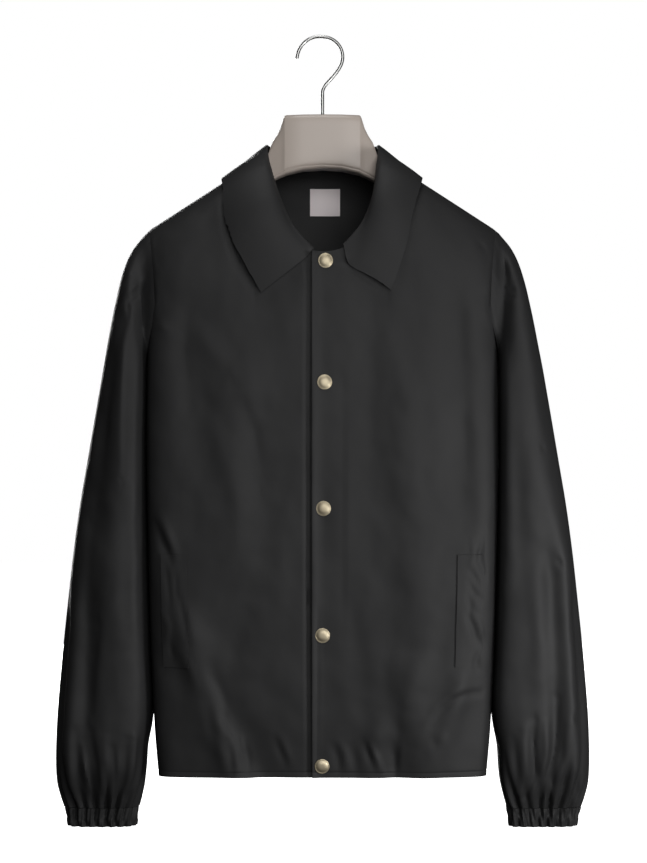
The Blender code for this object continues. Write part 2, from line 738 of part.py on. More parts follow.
def add_snaps(shell, material, collection):
    # Domed caps, each a turned profile seated on the overlapping front.
    rim = 0.0010
    profile = [(0.0, SNAP_RISE), (0.40, 0.93), (0.72, 0.70), (0.90, 0.40)]
    outline = [profile[0]] + [(SNAP_RADIUS * r, SNAP_RISE * h) for r, h in profile[1:]]
    outline += [(SNAP_RADIUS, rim), (SNAP_RADIUS, 0.0), (0.0, 0.0)]
    mesh = bpy.data.meshes.new("snap_cap")
    mesh.from_pydata([(r, 0.0, h) for r, h in outline],
                     [(i, i + 1) for i in range(len(outline) - 1)], [])
    mesh.materials.append(material)
    for number, snap in enumerate(SNAPS, start=1):
        cap = bpy.data.objects.new(f"snap_cap_{number}", mesh.copy())
        collection.objects.link(cap)
        place, outward, _, _ = shell.ray_cast(Vector((snap.x, -0.3, snap.z)), Vector((0, 1, 0)))
        cap.location = place + outward * SEAM_GAP
        cap.rotation_euler = outward.to_track_quat("Z", "Y").to_euler()
        turn = cap.modifiers.new("Turned", "SCREW")
        turn.steps = turn.render_steps = 16
        turn.use_merge_vertices = True
        turn.merge_threshold = 0.00001
        turn.use_smooth_shade = True


def hanger_sections():
    # Centre, half height and half depth of each section, from the middle out.
    for row in HANGER_MIDDLE:
        yield row.x, row.top, row.low, row.half_depth
    slope = math.hypot(1, SHOULDER_FALL)
    for arm in HANGER_ARM:
        top = shoulder_z(arm.x) - (SHELL_WALL + HANGER_SEAT) * slope
        drop = (HANGER_ARM[2].height - arm.height) * 0.35 if arm.x > HANGER_ARM[2].x else 0.0
        yield arm.x, top - drop, top - drop - arm.height, arm.half_depth


def add_hanger(material, collection, cutters):
    # A loft through the sections, mirrored at the middle, with a bore for the hook.
    points = []
    for x, top, low, half_depth in hanger_sections():
        for i in range(AROUND_HANGER):
            turn = 2 * math.pi * i / AROUND_HANGER
            cosine, sine = math.cos(turn), math.sin(turn)
            out = math.copysign(abs(sine) ** (2 / HANGER_POWER), sine)
            up = math.copysign(abs(cosine) ** (2 / HANGER_POWER), cosine)
            points.append((x, -half_depth * out, (top + low) / 2 + up * (top - low) / 2))
    count = len(points) // AROUND_HANGER
    faces = []
    for s in range(count - 1):
        for i in range(AROUND_HANGER):
            a, b = s * AROUND_HANGER + i, s * AROUND_HANGER + (i + 1) % AROUND_HANGER
            faces.append((a, b, b + AROUND_HANGER, a + AROUND_HANGER))
    faces.append(tuple((count - 1) * AROUND_HANGER + i for i in range(AROUND_HANGER)))
    mesh = bpy.data.meshes.new("hanger_body")
    mesh.from_pydata(points, [], faces)
    mesh.shade_smooth()
    mesh.set_sharp_from_angle(angle=math.radians(40))
    mesh.materials.append(material)
    hanger = bpy.data.objects.new("hanger_body", mesh)
    collection.objects.link(hanger)
    mirror = hanger.modifiers.new("Both arms", "MIRROR")
    mirror.use_axis[0] = True
    mirror.merge_threshold = 0.00001
    bore_top = HANGER_TOP_Z + 0.010
    bore_end = HANGER_TOP_Z - BORE_DEPTH
    bpy.ops.mesh.primitive_cylinder_add(vertices=12, radius=WIRE + SEAM_GAP,
                                        depth=bore_top - bore_end,
                                        location=(0, 0, (bore_top + bore_end) / 2))
    cutter = bpy.context.object
    cutter.name = "hook_bore_cutter"
    cutter.hide_render = True
    cutter.display_type = "WIRE"
    for holder in list(cutter.users_collection):
        holder.objects.unlink(cutter)
    cutters.objects.link(cutter)
    bore = hanger.modifiers.new("Hook bore", "BOOLEAN")
    bore.operation = "DIFFERENCE"
    bore.object = cutter


def hook_points():
    # Up the stem, round a reversed bend, over the crown and down to the open tip.
    stem_end = HANGER_TOP_Z - BORE_DEPTH + SEAM_GAP
    points = [Vector((0, 0, stem_end)), Vector((0, 0, (stem_end + STEM_TOP_Z) / 2))]
    centre = Vector((0, 0, WIRE - HOOK_RADIUS))
    first, crown, last = -28, 90, 185
    tangent = Vector((math.sin(math.radians(first)), 0, -math.cos(math.radians(first))))
    start = centre + HOOK_RADIUS * Vector((math.cos(math.radians(first)), 0,
                                           math.sin(math.radians(first))))
    low = Vector((0, 0, STEM_TOP_Z))
    bend = (low, low + Vector((0, 0, 0.011)), start + tangent * 0.018, start)
    steps = 7
    for i in range(steps):
        t = i / steps
        weights = ((1 - t) ** 3, 3 * t * (1 - t) ** 2, 3 * t * t * (1 - t), t ** 3)
        points.append(sum((w * p for w, p in zip(weights, bend)), Vector()))
    turns = 17
    for i in range(turns + 1):
        degrees = first + (last - first) * i / turns
        radius = HOOK_RADIUS + HOOK_OPENING * max(degrees - crown, 0)
        angle = math.radians(degrees)
        points.append(centre + radius * Vector((math.cos(angle), 0, math.sin(angle))))
    return points


def add_hook(material, collection):
    curve = bpy.data.curves.new("hanger_hook", "CURVE")
    curve.dimensions = "3D"
    curve.bevel_depth = WIRE
    curve.bevel_resolution = 2
    curve.use_fill_caps = True
    points = hook_points()
    spline = curve.splines.new("POLY")
    spline.points.add(len(points) - 1)
    for target, point in zip(spline.points, points):
        target.co = (*point, 1.0)
    spline.use_smooth = True
    curve.materials.append(material)
    hook = bpy.data.objects.new("hanger_hook", curve)
    collection.objects.link(hook)


def build_jacket(collection):
    shell_cloth = finish_material("Black shell cloth", (0.018, 0.018, 0.018), 0.50)
    band_cloth = finish_material("Black cuff elastic", (0.015, 0.015, 0.015), 0.60)
    label_cloth = finish_material("Grey label satin", (0.28, 0.26, 0.26), 0.45)
    pale_gold = finish_material("Pale gold metal", (0.62, 0.50, 0.30), 0.28, 1.0)

    front_left = half_panel("front", 1, lap=LAP_OVER, lift=LAP_LIFT)
    front_right = half_panel("front", -1, lap=LAP_UNDER)
    back_left, back_right = half_panel("back", 1), half_panel("back", -1)
    sheets = {
        "front_left": panel_sheet("front", [(1, front_left)]),
        "front_right": panel_sheet("front", [(-1, front_right)]),
        "back": panel_sheet("back", [(1, back_left), (-1, back_right)]),
        "sleeve_left": sleeve_sheet(1, armhole((front_left[0], front_left[1]), back_left)),
        "sleeve_right": sleeve_sheet(-1, armhole((front_right[0], front_right[1]), back_right)),
    }
    sleeves = [sheet for name, sheet in sheets.items() if name.startswith("sleeve")]
    body = [sheet for name, sheet in sheets.items() if not name.startswith("sleeve")]
    directions = wall_directions([body, sleeves], (HEM_Z, SLEEVE_END_Z))
    for name, sheet in sheets.items():
        cloth(name, sheet, directions, -SHELL_WALL, 0.0, shell_cloth, collection)

    for name, side in (("cuff_left", 1), ("cuff_right", -1)):
        sheet = cuff_sheet(side)
        level = wall_directions([[sheet]], (CUFF_TOP_Z, CUFF_END_Z))
        cloth(name, sheet, level, -CUFF_WALL, 0.0, band_cloth, collection, gap=0.0)

    for name, side, (main, _) in (("pocket_welt_left", 1, front_left),
                                  ("pocket_welt_right", -1, front_right)):
        sheet = welt_sheet([row[1:] for row in main], side)
        cloth(name, sheet, directions, SEAM_GAP, SEAM_GAP + SHELL_WALL, shell_cloth, collection,
              gap=0.0)

    points, faces = [], []
    for name in ("front_left", "front_right", "back"):
        start = len(points)
        points += sheets[name].points
        faces += [tuple(i + start for i in face) for face in sheets[name].faces]
    shell = BVHTree.FromPolygons(points, faces)

    seam_points = neck_seam(front_right, front_left, back_right, back_left, directions)
    sheet = collar_sheet(seam_points, shell)
    collar_directions = wall_directions([[sheet]])
    for _, point, facing in seam_points:
        collar_directions[key(point)] = facing * -SHELL_WALL / COLLAR_WALL
    cloth("collar", sheet, collar_directions, 0.0, COLLAR_WALL, shell_cloth, collection)
    sheet = label_sheet(shell)
    cloth("neck_label", sheet, wall_directions([[sheet]]), 0.0, LABEL_WALL, label_cloth,
          collection, gap=0.0)
    add_snaps(shell, pale_gold, collection)


clear_scene()
jacket = new_collection("coach_jacket_on_hanger")
cutters = new_collection("cutters")
build_jacket(jacket)
add_hanger(finish_material("Greige hanger", (0.40, 0.34, 0.30), 0.45), jacket, cutters)
add_hook(finish_material("Bright steel wire", (0.70, 0.70, 0.69), 0.18, 1.0), jacket)
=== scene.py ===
import math
import bpy
import bmesh
import numpy as np
from mathutils import Matrix, Vector, noise
from mathutils.bvhtree import BVHTree
from mathutils.kdtree import KDTree


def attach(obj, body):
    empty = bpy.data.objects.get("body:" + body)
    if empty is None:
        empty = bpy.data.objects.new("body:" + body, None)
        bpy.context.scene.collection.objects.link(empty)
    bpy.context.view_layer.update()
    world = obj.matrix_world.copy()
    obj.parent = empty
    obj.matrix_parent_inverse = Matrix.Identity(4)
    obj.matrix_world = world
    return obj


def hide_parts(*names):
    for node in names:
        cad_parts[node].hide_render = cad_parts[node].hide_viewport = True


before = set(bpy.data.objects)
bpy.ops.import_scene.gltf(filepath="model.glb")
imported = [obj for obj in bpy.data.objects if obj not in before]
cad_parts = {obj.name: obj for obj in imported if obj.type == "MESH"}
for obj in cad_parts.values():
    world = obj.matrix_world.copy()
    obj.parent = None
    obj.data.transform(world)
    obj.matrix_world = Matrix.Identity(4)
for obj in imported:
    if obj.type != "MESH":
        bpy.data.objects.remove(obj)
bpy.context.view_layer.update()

# A black coach jacket, snapped shut, on a contoured hanger with a wire hook.
# Metres, +Z up, the front looks at -Y, +X is the wearer's left.
# Each cloth piece is a fine thin shell on the form of its solid, with the creases added.
print("frame loaded:", len(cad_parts), "nodes")


# The camera

view = {"place": (0.00115, -3.2, -0.452), "seenHeight": 0.99245, "sensorHeight": 24.0}


def makeCamera():
    data = bpy.data.cameras.new("Front camera")
    data.sensor_fit = "VERTICAL"
    data.sensor_height = view["sensorHeight"]
    data.lens = view["sensorHeight"] * -view["place"][1] / view["seenHeight"]
    camera = bpy.data.objects.new("Front camera", data)
    camera.location = view["place"]
    camera.rotation_euler = (math.radians(90), 0, 0)
    bpy.context.scene.collection.objects.link(camera)
    bpy.context.scene.camera = camera


makeCamera()
print("camera set")


# Helpers for tables, meshes and pieces

weld = 0.00002    # points nearer than this are one


def ease(share):
    share = np.clip(share, 0.0, 1.0)
    return share * share * (3 - 2 * share)


def smoothThrough(keys, values, at):
    # A smooth curve through values at keys, read at any places between them.
    keys, values = np.asarray(keys, float), np.asarray(values, float)
    at = np.clip(at, keys[0], keys[-1])
    low = np.clip(np.searchsorted(keys, at, side="right") - 1, 0, len(keys) - 2)
    index = np.arange(len(keys))
    before, after = np.maximum(index - 1, 0), np.minimum(index + 1, len(keys) - 1)
    spread = (...,) + (None,) * (values.ndim - 1)
    slopes = (values[after] - values[before]) / (keys[after] - keys[before])[spread]
    span = (keys[low + 1] - keys[low])
    t = ((at - keys[low]) / span)[spread]
    span = span[spread]
    return ((1 + 2 * t) * (1 - t) ** 2 * values[low] + t * (1 - t) ** 2 * span * slopes[low]
            + t * t * (3 - 2 * t) * values[low + 1] + t * t * (t - 1) * span * slopes[low + 1])


def readTable(table, name, at):
    return smoothThrough(next(iter(table.values())), table[name], np.asarray(at, float))


def deselectAll():
    if bpy.context.object and bpy.context.object.mode != "OBJECT":
        bpy.ops.object.mode_set(mode="OBJECT")
    bpy.ops.object.select_all(action="DESELECT")


def makeActive(piece):
    deselectAll()
    piece.select_set(True)
    bpy.context.view_layer.objects.active = piece


def gridFaces(rows, columns, start=0, flip=False, closed=False):
    index = start + np.arange(rows * columns).reshape(rows, columns)
    if closed:
        index = np.concatenate([index, index[:, :1]], axis=1)
    a, b = index[:-1, :-1].ravel(), index[:-1, 1:].ravel()
    c, d = index[1:, 1:].ravel(), index[1:, :-1].ravel()
    quads = np.stack([a, b, c, d] if not flip else [d, c, b, a], -1)
    return quads.tolist()


def clothMesh(name, grids, flip=False, closed=False):
    # One merged surface from grids of points, each with the flat place of its points as UV.
    points, faces, flats = [], [], []
    for grid, flat in grids:
        rows, columns = grid.shape[:2]
        faces += gridFaces(rows, columns, len(points), flip, closed)
        points += grid.reshape(-1, 3).tolist()
        flats += flat.reshape(-1, 2).tolist()
    mesh = bpy.data.meshes.new(name)
    mesh.from_pydata(points, [], faces)
    corner = np.array([flats[i] for face in faces for i in face], float)
    if closed:
        # The last column runs on past the seam and doesn't jump back.
        width = np.ptp(np.array(flats)[:, 0]) * (1 + 1 / grids[0][0].shape[1])
        corner = corner.reshape(-1, 4, 2)
        jump = (corner[:, :, 0].max(1) - corner[:, :, 0].min(1)) > width / 2
        for i in range(4):
            corner[:, i, 0] += np.where(jump & (corner[:, i, 0] < width / 2), width, 0)
        corner = corner.reshape(-1, 2)
    mesh.uv_layers.new(name="Cut").data.foreach_set("uv", corner.ravel())
    merged = bmesh.new()
    merged.from_mesh(mesh)
    bmesh.ops.remove_doubles(merged, verts=merged.verts, dist=weld)
    merged.to_mesh(mesh)
    merged.free()
    piece = bpy.data.objects.new(name, mesh)
    bpy.context.scene.collection.objects.link(piece)
    return piece


def readPoints(piece):
    points = np.zeros(len(piece.data.vertices) * 3)
    piece.data.vertices.foreach_get("co", points)
    return points.reshape(-1, 3)


def readNormals(piece):
    normals = np.zeros(len(piece.data.vertices) * 3, np.float32)
    piece.data.vertex_normals.foreach_get("vector", normals)
    return normals.reshape(-1, 3).astype(float)


def writePoints(piece, points):
    piece.data.vertices.foreach_set("co", points.ravel())
    piece.data.update()


def applyModifiers(piece):
    makeActive(piece)
    for modifier in list(piece.modifiers):
        bpy.ops.object.modifier_apply(modifier=modifier.name)


def giveWall(piece, thickness, offset=-1.0):
    wall = piece.modifiers.new("Wall", "SOLIDIFY")
    wall.thickness = thickness
    wall.offset = offset
    applyModifiers(piece)


def finishPiece(piece, material, slot, *nodes):
    piece.data.materials.clear()
    piece.data.materials.append(material)
    makeActive(piece)
    bpy.ops.object.shade_smooth_by_angle(angle=math.radians(42))
    deselectAll()
    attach(piece, "root")
    if nodes:
        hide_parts(*nodes)
    return piece


# The sizes that the panels share

jacket = {
    "hemZ": -0.843,
    "notchZ": -0.310,
    "neckHalf": 0.072,
    "neckSideZ": -0.1395,
    "neckZ": {"front": -0.2495, "back": -0.1530},
    "neckPower": {"front": 2.2, "back": 2.4},
    "shoulderHalf": 0.200,
    "shoulderFall": 0.648,
    "armholeDrop": 0.076,
    "notchHalf": 0.190,
    "bodyPower": 7.5,
    "archPower": 2.8,
    "lapOver": 0.012,
    "lapUnder": 0.017,
    "lapLift": 0.0016,
    "lapFade": (0.025, 0.060),
    "edgeLift": 0.0028,
    "edgeWide": 0.007,
    "foldEnd": 0.6,
    "foldFade": 0.035,
    "wall": 0.0010,
    # Rows above the hem and columns from the lap's edge, closer beside their stitching.
    "hemRows": (0.0, 0.0006, 0.0030, 0.0052, 0.0060, 0.0068, 0.0076, 0.0090),
    "lapColumns": (0.0, 0.0007, 0.0025, 0.0048, 0.0056, 0.0064, 0.0085),
    "rowStep": 0.0034,
    "stitchUp": 0.0060,
    "stitchDeep": 0.0004,
    "stitchWide": 0.0009,
    "neckStep": 8,
    "neckLines": 41,
    "shoulderLines": 37,
    "fine": 6,
}
bodySections = {
    "z": (-0.841, -0.784, -0.700, -0.590, -0.470, -0.386, -0.310),
    "halfWidth": (0.1870, 0.1915, 0.1950, 0.1980, 0.2000, 0.1990, 0.1980),
    "front": (0.058, 0.064, 0.069, 0.073, 0.075, 0.075, 0.074),
    "back": (0.054, 0.060, 0.065, 0.069, 0.071, 0.071, 0.070),
}
# Lines up the panels: where each crosses the notch, and where it ends on the neck or shoulder.
panelColumns = {
    "notchX": (0.0, 0.017, 0.034, 0.050, 0.064, 0.075, 0.083, 0.090, 0.098,
               0.112, 0.131, 0.152, 0.167, 0.182, 0.190),
    "topX": (0.0, 0.0240, 0.0420, 0.0560, 0.0650, 0.0700, 0.0714, 0.0719, 0.0720,
             0.0980, 0.1240, 0.1500, 0.1680, 0.1860, 0.2000),
}
# The largest folds of the body: ridges and troughs between two ends (x0, z0) and (x1, z1).
largeFolds = {
    "front": (
        (-0.146, -0.690, -0.092, -0.850, 0.021, 0.0060),
        (-0.120, -0.745, -0.062, -0.850, 0.019, -0.0045),
        (0.060, -0.800, 0.052, -0.850, 0.014, 0.0040),
        (0.086, -0.790, 0.082, -0.850, 0.013, -0.0035),
        (0.160, -0.740, 0.120, -0.830, 0.017, 0.0050),
        (0.150, -0.330, 0.158, -0.520, 0.022, -0.0030),
        (-0.146, -0.340, -0.138, -0.470, 0.022, -0.0025),
        (0.092, -0.420, 0.110, -0.640, 0.024, 0.0035),
        (-0.090, -0.400, -0.100, -0.600, 0.024, 0.0030),
    ),
    "back": (
        (-0.120, -0.300, -0.090, -0.560, 0.026, 0.0055),
        (0.124, -0.310, 0.100, -0.600, 0.026, 0.0060),
        (-0.050, -0.430, -0.040, -0.850, 0.026, -0.0050),
        (0.060, -0.520, 0.070, -0.850, 0.024, -0.0055),
        (0.008, -0.560, 0.016, -0.850, 0.026, 0.0050),
        (-0.130, -0.660, -0.110, -0.850, 0.020, 0.0060),
    ),
}


def shoulderZ(x):
    return jacket["neckSideZ"] - jacket["shoulderFall"] * (np.abs(x) - jacket["neckHalf"])


def necklineZ(panel, x):
    power = jacket["neckPower"][panel]
    share = np.minimum(np.abs(x) / jacket["neckHalf"], 1.0)
    fall = (jacket["neckSideZ"] - jacket["neckZ"][panel]) * (1 - share ** power) ** (1 / power)
    return jacket["neckSideZ"] - fall


def foldRelief(panel, x, z):
    height = np.zeros(np.broadcast(x, z).shape)
    for x0, z0, x1, z1, halfWidth, depth in largeFolds[panel]:
        run, rise = x1 - x0, z1 - z0
        length = math.hypot(run, rise)
        along = ((x - x0) * run + (z - z0) * rise) / length
        across = ((x - x0) * rise - (z - z0) * run) / length
        past = jacket["foldEnd"] * np.maximum(np.maximum(-along, along - length), 0.0)
        height = height + depth * np.exp(-(across ** 2 + past ** 2) / halfWidth ** 2)
    return height


def bodyPoints(panel, shareX, z):
    facing = -1 if panel == "front" else 1
    power = jacket["bodyPower"]
    shareX, z = np.broadcast_arrays(shareX, z)
    depth = readTable(bodySections, panel, z)
    depth = depth * (1 - np.minimum(np.abs(shareX), 1.0) ** power) ** (1 / power)
    return np.stack([shareX * readTable(bodySections, "halfWidth", z), facing * depth, z], -1)


def rowHeights():
    # Rows from the hem up to the notch.
    hem = jacket["hemZ"] + np.array(jacket["hemRows"])
    count = int((jacket["notchZ"] - hem[-1]) / jacket["rowStep"])
    return np.concatenate([hem[:-1], np.linspace(hem[-1], jacket["notchZ"], count)])


def columnPlaces(lap=0.0):
    # Columns from the centre (or the lap's edge) out: where each crosses the notch and its top.
    steps = np.arange(len(panelColumns["topX"]))
    number = np.concatenate([
        np.linspace(0, jacket["neckStep"], jacket["neckLines"]),
        np.linspace(jacket["neckStep"], steps[-1], jacket["shoulderLines"])[1:]])
    topX = np.interp(number, steps, panelColumns["topX"])
    notchX = np.interp(number, steps, panelColumns["notchX"])
    if lap:
        edge = -lap + np.array(jacket["lapColumns"])
        topX, notchX = np.concatenate([edge, topX]), np.concatenate([edge, notchX])
    return notchX, topX


rowZ = rowHeights()
archSteps = 8 * jacket["fine"]
sideSteps = 6 * jacket["fine"]


def mainGrid(panel, side, notchX, topX, lift):
    # The part of a panel that reaches the neck or the shoulder, hem first.
    facing = -1 if panel == "front" else 1
    notchZ, power = jacket["notchZ"], jacket["archPower"]
    shareX = side * notchX / readTable(bodySections, "halfWidth", notchZ)
    low = bodyPoints(panel, shareX[None, :], rowZ[:, None])
    topZ = np.where(np.abs(topX) < jacket["neckHalf"], necklineZ(panel, topX), shoulderZ(topX))
    climb = np.clip((topZ - notchZ) / (shoulderZ(topX) - notchZ), 0, 1)
    share = np.arange(1, archSteps + 1)[:, None] / archSteps
    angle = np.arcsin(climb ** (power / 2))[None, :] * share
    x = side * (notchX + (topX - notchX) * share)
    y = low[-1, :, 1] * np.maximum(np.cos(angle), 0.0) ** (2 / power)
    z = notchZ + np.sin(angle) ** (2 / power) * (shoulderZ(x) - notchZ)
    grid = np.concatenate([low, np.stack([x, y, z], -1)])
    fade = np.concatenate([np.ones(len(rowZ)), 1 - share[:, 0] ** 2])[:, None]
    flat = ease((jacket["notchHalf"] - notchX) / jacket["foldFade"])[None, :] * fade
    grid[..., 1] += facing * flat * foldRelief(panel, grid[..., 0], grid[..., 2])
    start, end = jacket["lapFade"]
    grid[..., 1] += facing * lift * (1 - ease((np.abs(grid[..., 0]) - start) / (end - start)))
    if lift:
        # The lap's edge stands off a little more.
        fromEdge = side * grid[..., 0] + jacket["lapOver"]
        rise = np.exp(-(fromEdge / jacket["edgeWide"]) ** 2)
        grid[..., 1] += facing * jacket["edgeLift"] * rise
    return grid


def sideGrid(panel, side):
    # The part of a panel that wraps to the side seam, below the armhole.
    hemZ, notchZ, power = jacket["hemZ"], jacket["notchZ"], jacket["bodyPower"]
    share = jacket["notchHalf"] / readTable(bodySections, "halfWidth", notchZ)
    notchShare = (1 - share ** power) ** (1 / power)
    leftY = 1 - np.arange(sideSteps + 1) / sideSteps
    shareX = (1 - (leftY * notchShare) ** power) ** (1 / power)
    armZ = notchZ - jacket["armholeDrop"] * np.sqrt(1 - leftY ** 2)
    z = hemZ + (rowZ[:, None] - hemZ) * (armZ - hemZ) / (notchZ - hemZ)
    grid = bodyPoints(panel, side * shareX[None, :], z)
    grid[:, -1, 1] = 0.0
    return grid


def flatPlaces(grid, startWidth=0.0):
    # How far each point lies along its row and up its column, as the cloth is cut.
    across = np.linalg.norm(np.diff(grid, axis=1), axis=-1).mean(0)
    up = np.linalg.norm(np.diff(grid, axis=0), axis=-1).mean(1)
    u = startWidth + np.concatenate([[0.0], np.cumsum(across)])
    v = np.concatenate([[0.0], np.cumsum(up)])
    return np.stack(np.meshgrid(u, v), -1)


def tubePlaces(grid):
    # The same for a closed tube whose rows run down.
    closed = np.concatenate([grid, grid[:, :1]], axis=1)
    return flatPlaces(closed)[:, :-1] * np.array([1.0, -1.0])


def halfPanel(panel, side, lap=0.0, lift=0.0):
    notchX, topX = columnPlaces(lap)
    main = mainGrid(panel, side, notchX, topX, lift)
    wrap = sideGrid(panel, side)
    wrap[:, 0] = main[:len(rowZ), -1]
    return main, wrap


def panelGrids(half, side):
    main, wrap = half
    mainFlat = flatPlaces(main)
    wrapFlat = flatPlaces(wrap, mainFlat[0, -1, 0])
    wrapFlat[..., 1] = mainFlat[:len(rowZ), -1:, 1]
    mainFlat[..., 0] *= side
    wrapFlat[..., 0] *= side
    return [(main, mainFlat), (wrap, wrapFlat)]


frontLeftHalf = halfPanel("front", 1, jacket["lapOver"], jacket["lapLift"])
frontRightHalf = halfPanel("front", -1, jacket["lapUnder"])
backLeftHalf, backRightHalf = halfPanel("back", 1), halfPanel("back", -1)
print("panels worked out:", frontLeftHalf[0].shape, frontLeftHalf[1].shape)


# The sleeves

sleeve = {
    "endZ": -0.881,
    "power": 3.4,
    "innerPower": {1: 6.0, -1: 3.4},
    "ringStep": 0.0032,
    "ringPoints": 1680,
    "gathers": 20,
    "gatherDepth": 0.0030,
    "gatherReach": 0.085,
    "gatherTip": 0.25,
    "foldEnd": 0.030,
    # How the right sleeve's outer front turns back, and over what heights it does.
    "turn": 0.014,
    "turnPower": 1.5,
    "turnStart": 0.036,
    "turnTop": -0.255,
    "turnFoot": -0.865,
    "turnFade": (0.070, 0.150),
}
sleeveOuter = {
    "z": (-0.8810, -0.8530, -0.8070, -0.7380, -0.6460, -0.5540, -0.4700, -0.3950,
          -0.3300, -0.2800, -0.2590, -0.2430, -0.2325),
    "x": (0.2945, 0.3025, 0.3050, 0.3010, 0.2920, 0.2810, 0.2670, 0.2540,
          0.2425, 0.2310, 0.2240, 0.2160, 0.2080),
}
sleeveInner = {
    "z": (-0.8810, -0.8530, -0.8260, -0.8070, -0.7880, -0.7700, -0.7000, -0.6000, -0.5000,
          -0.4500, -0.4070, -0.3940, -0.3900, -0.3875),
    "x": (0.2125, 0.2053, 0.2020, 0.2003, 0.1962, 0.1935, 0.1960, 0.1989, 0.2006,
          0.2009, 0.2004, 0.2005, 0.2006, 0.2005),
}
sleeveDepth = {
    "z": (-0.8810, -0.8700, -0.8530, -0.8400, -0.8000, -0.6800, -0.5200, -0.4000,
          -0.3550, -0.3265, -0.3100),
    "half": (0.0270, 0.0335, 0.0450, 0.0530, 0.0620, 0.0690, 0.0780, 0.0820,
             0.0785, 0.0700, 0.0580),
    "middle": (-0.004, -0.004, -0.003, -0.002, 0.000, 0.001, 0.003, 0.004,
               0.004, 0.002, 0.001),
}
# Rings down the sleeve, each from a height on its outer line to one on its inner line.
sleeveRings = {
    "outerZ": (-0.2325, -0.2430, -0.2590, -0.2800, -0.3030, -0.3300, -0.3620, -0.3980,
               -0.4390, -0.4850, -0.5350, -0.5880, -0.6420, -0.6950, -0.7420, -0.7800,
               -0.8100, -0.8340, -0.8530, -0.8680, -0.8810),
    "innerZ": (-0.3875, -0.3900, -0.3940, -0.4000, -0.4090, -0.4230, -0.4430, -0.4690,
               -0.5010, -0.5390, -0.5810, -0.6260, -0.6720, -0.7160, -0.7550, -0.7870,
               -0.8130, -0.8350, -0.8530, -0.8680, -0.8810),
}
# Long folds of each sleeve: place around (0 to 1 from the outer line over the front),
# top, foot, half width, depth.
longFolds = {
    1: (
        (0.125, -0.660, -0.860, 0.012, -0.0050),
        (0.205, -0.620, -0.850, 0.012, -0.0045),
        (0.165, -0.600, -0.840, 0.011, 0.0035),
        (0.100, -0.280, -0.330, 0.014, -0.0030),
        (0.170, -0.330, -0.520, 0.016, -0.0015),
        (0.830, -0.560, -0.840, 0.016, -0.0050),
    ),
    -1: (
        (0.110, -0.680, -0.860, 0.012, -0.0045),
        (0.200, -0.650, -0.850, 0.012, -0.0045),
        (0.155, -0.560, -0.800, 0.013, 0.0030),
        (0.190, -0.320, -0.540, 0.016, -0.0045),
        (0.790, -0.600, -0.840, 0.016, -0.0050),
    ),
}
aroundSleeve = 28 * jacket["fine"]


def evenRing(outer, inner, halfDepth, middleY, count):
    # Evenly spaced points round a flattened tube, from its outer line over the front.
    turn = np.linspace(0, 2 * math.pi, sleeve["ringPoints"] + 1)
    innerPower = sleeve["innerPower"][1 if outer[0] > 0 else -1]
    power = np.where((np.cos(turn) < 0) & (np.sin(turn) > 0), 2 / innerPower, 2 / sleeve["power"])
    out = np.sign(np.cos(turn)) * np.abs(np.cos(turn)) ** power
    front = np.sign(np.sin(turn)) * np.abs(np.sin(turn)) ** power
    middle, reach = (outer + inner) / 2, (outer - inner) / 2
    line = middle + out[:, None] * reach
    line[:, 1] += middleY - halfDepth * front
    lengths = np.concatenate([[0], np.cumsum(np.linalg.norm(np.diff(line, axis=0), axis=1))])
    goals = lengths[-1] * np.arange(count) / count
    return np.stack([np.interp(goals, lengths, line[:, k]) for k in range(3)], -1)


def turnBack(ring, outer, inner, middleY):
    # Moves the outer front of a ring back, so that it faces outwards.
    topFade, footFade = sleeve["turnFade"]
    share = (ring[:, 0] - inner[0]) / (outer[0] - inner[0])
    amount = np.clip(share, 0.0, 1.0) ** sleeve["turnPower"]
    amount *= ease((middleY - ring[:, 1]) / sleeve["turnStart"])
    amount *= (ease((sleeve["turnTop"] - ring[:, 2]) / topFade)
               * ease((ring[:, 2] - sleeve["turnFoot"]) / footFade))
    ring[:, 1] += sleeve["turn"] * amount


def armholeRing(front, back):
    # Round an armhole, from the shoulder down its front and up its back.
    halves = []
    for main, wrap in (front, back):
        upper = main[len(rowZ) - 1:, -1][::-1]
        halves.append(np.concatenate([upper, wrap[-1, 1:]]))
    return np.concatenate([halves[0], halves[1][-2:0:-1]])


def sleeveGrid(side, armhole):
    rings = [armhole]
    for outerZ, innerZ in zip(sleeveRings["outerZ"], sleeveRings["innerZ"]):
        outer = np.array([side * readTable(sleeveOuter, "x", outerZ), 0.0, outerZ])
        inner = np.array([side * readTable(sleeveInner, "x", innerZ), 0.0, innerZ])
        middleZ = (outerZ + innerZ) / 2
        middleY = readTable(sleeveDepth, "middle", middleZ)
        halfDepth = readTable(sleeveDepth, "half", middleZ)
        ring = evenRing(outer, inner, halfDepth, middleY, aroundSleeve)
        if side < 0:
            turnBack(ring, outer, inner, middleY)
        rings.append(ring)
    rings = np.array(rings)
    steps = np.linalg.norm(np.diff(rings, axis=0), axis=-1).mean(1)
    lengths = np.concatenate([[0.0], np.cumsum(steps)])
    places = np.linspace(0, lengths[-1], int(lengths[-1] / sleeve["ringStep"]))
    return smoothThrough(lengths, rings, places)


# Creases. Each is a path in millimetres (x, z) as seen from the front or the back, with
# its half width, how much steeper its lower-x flank is, and its height (below 0 a trough).

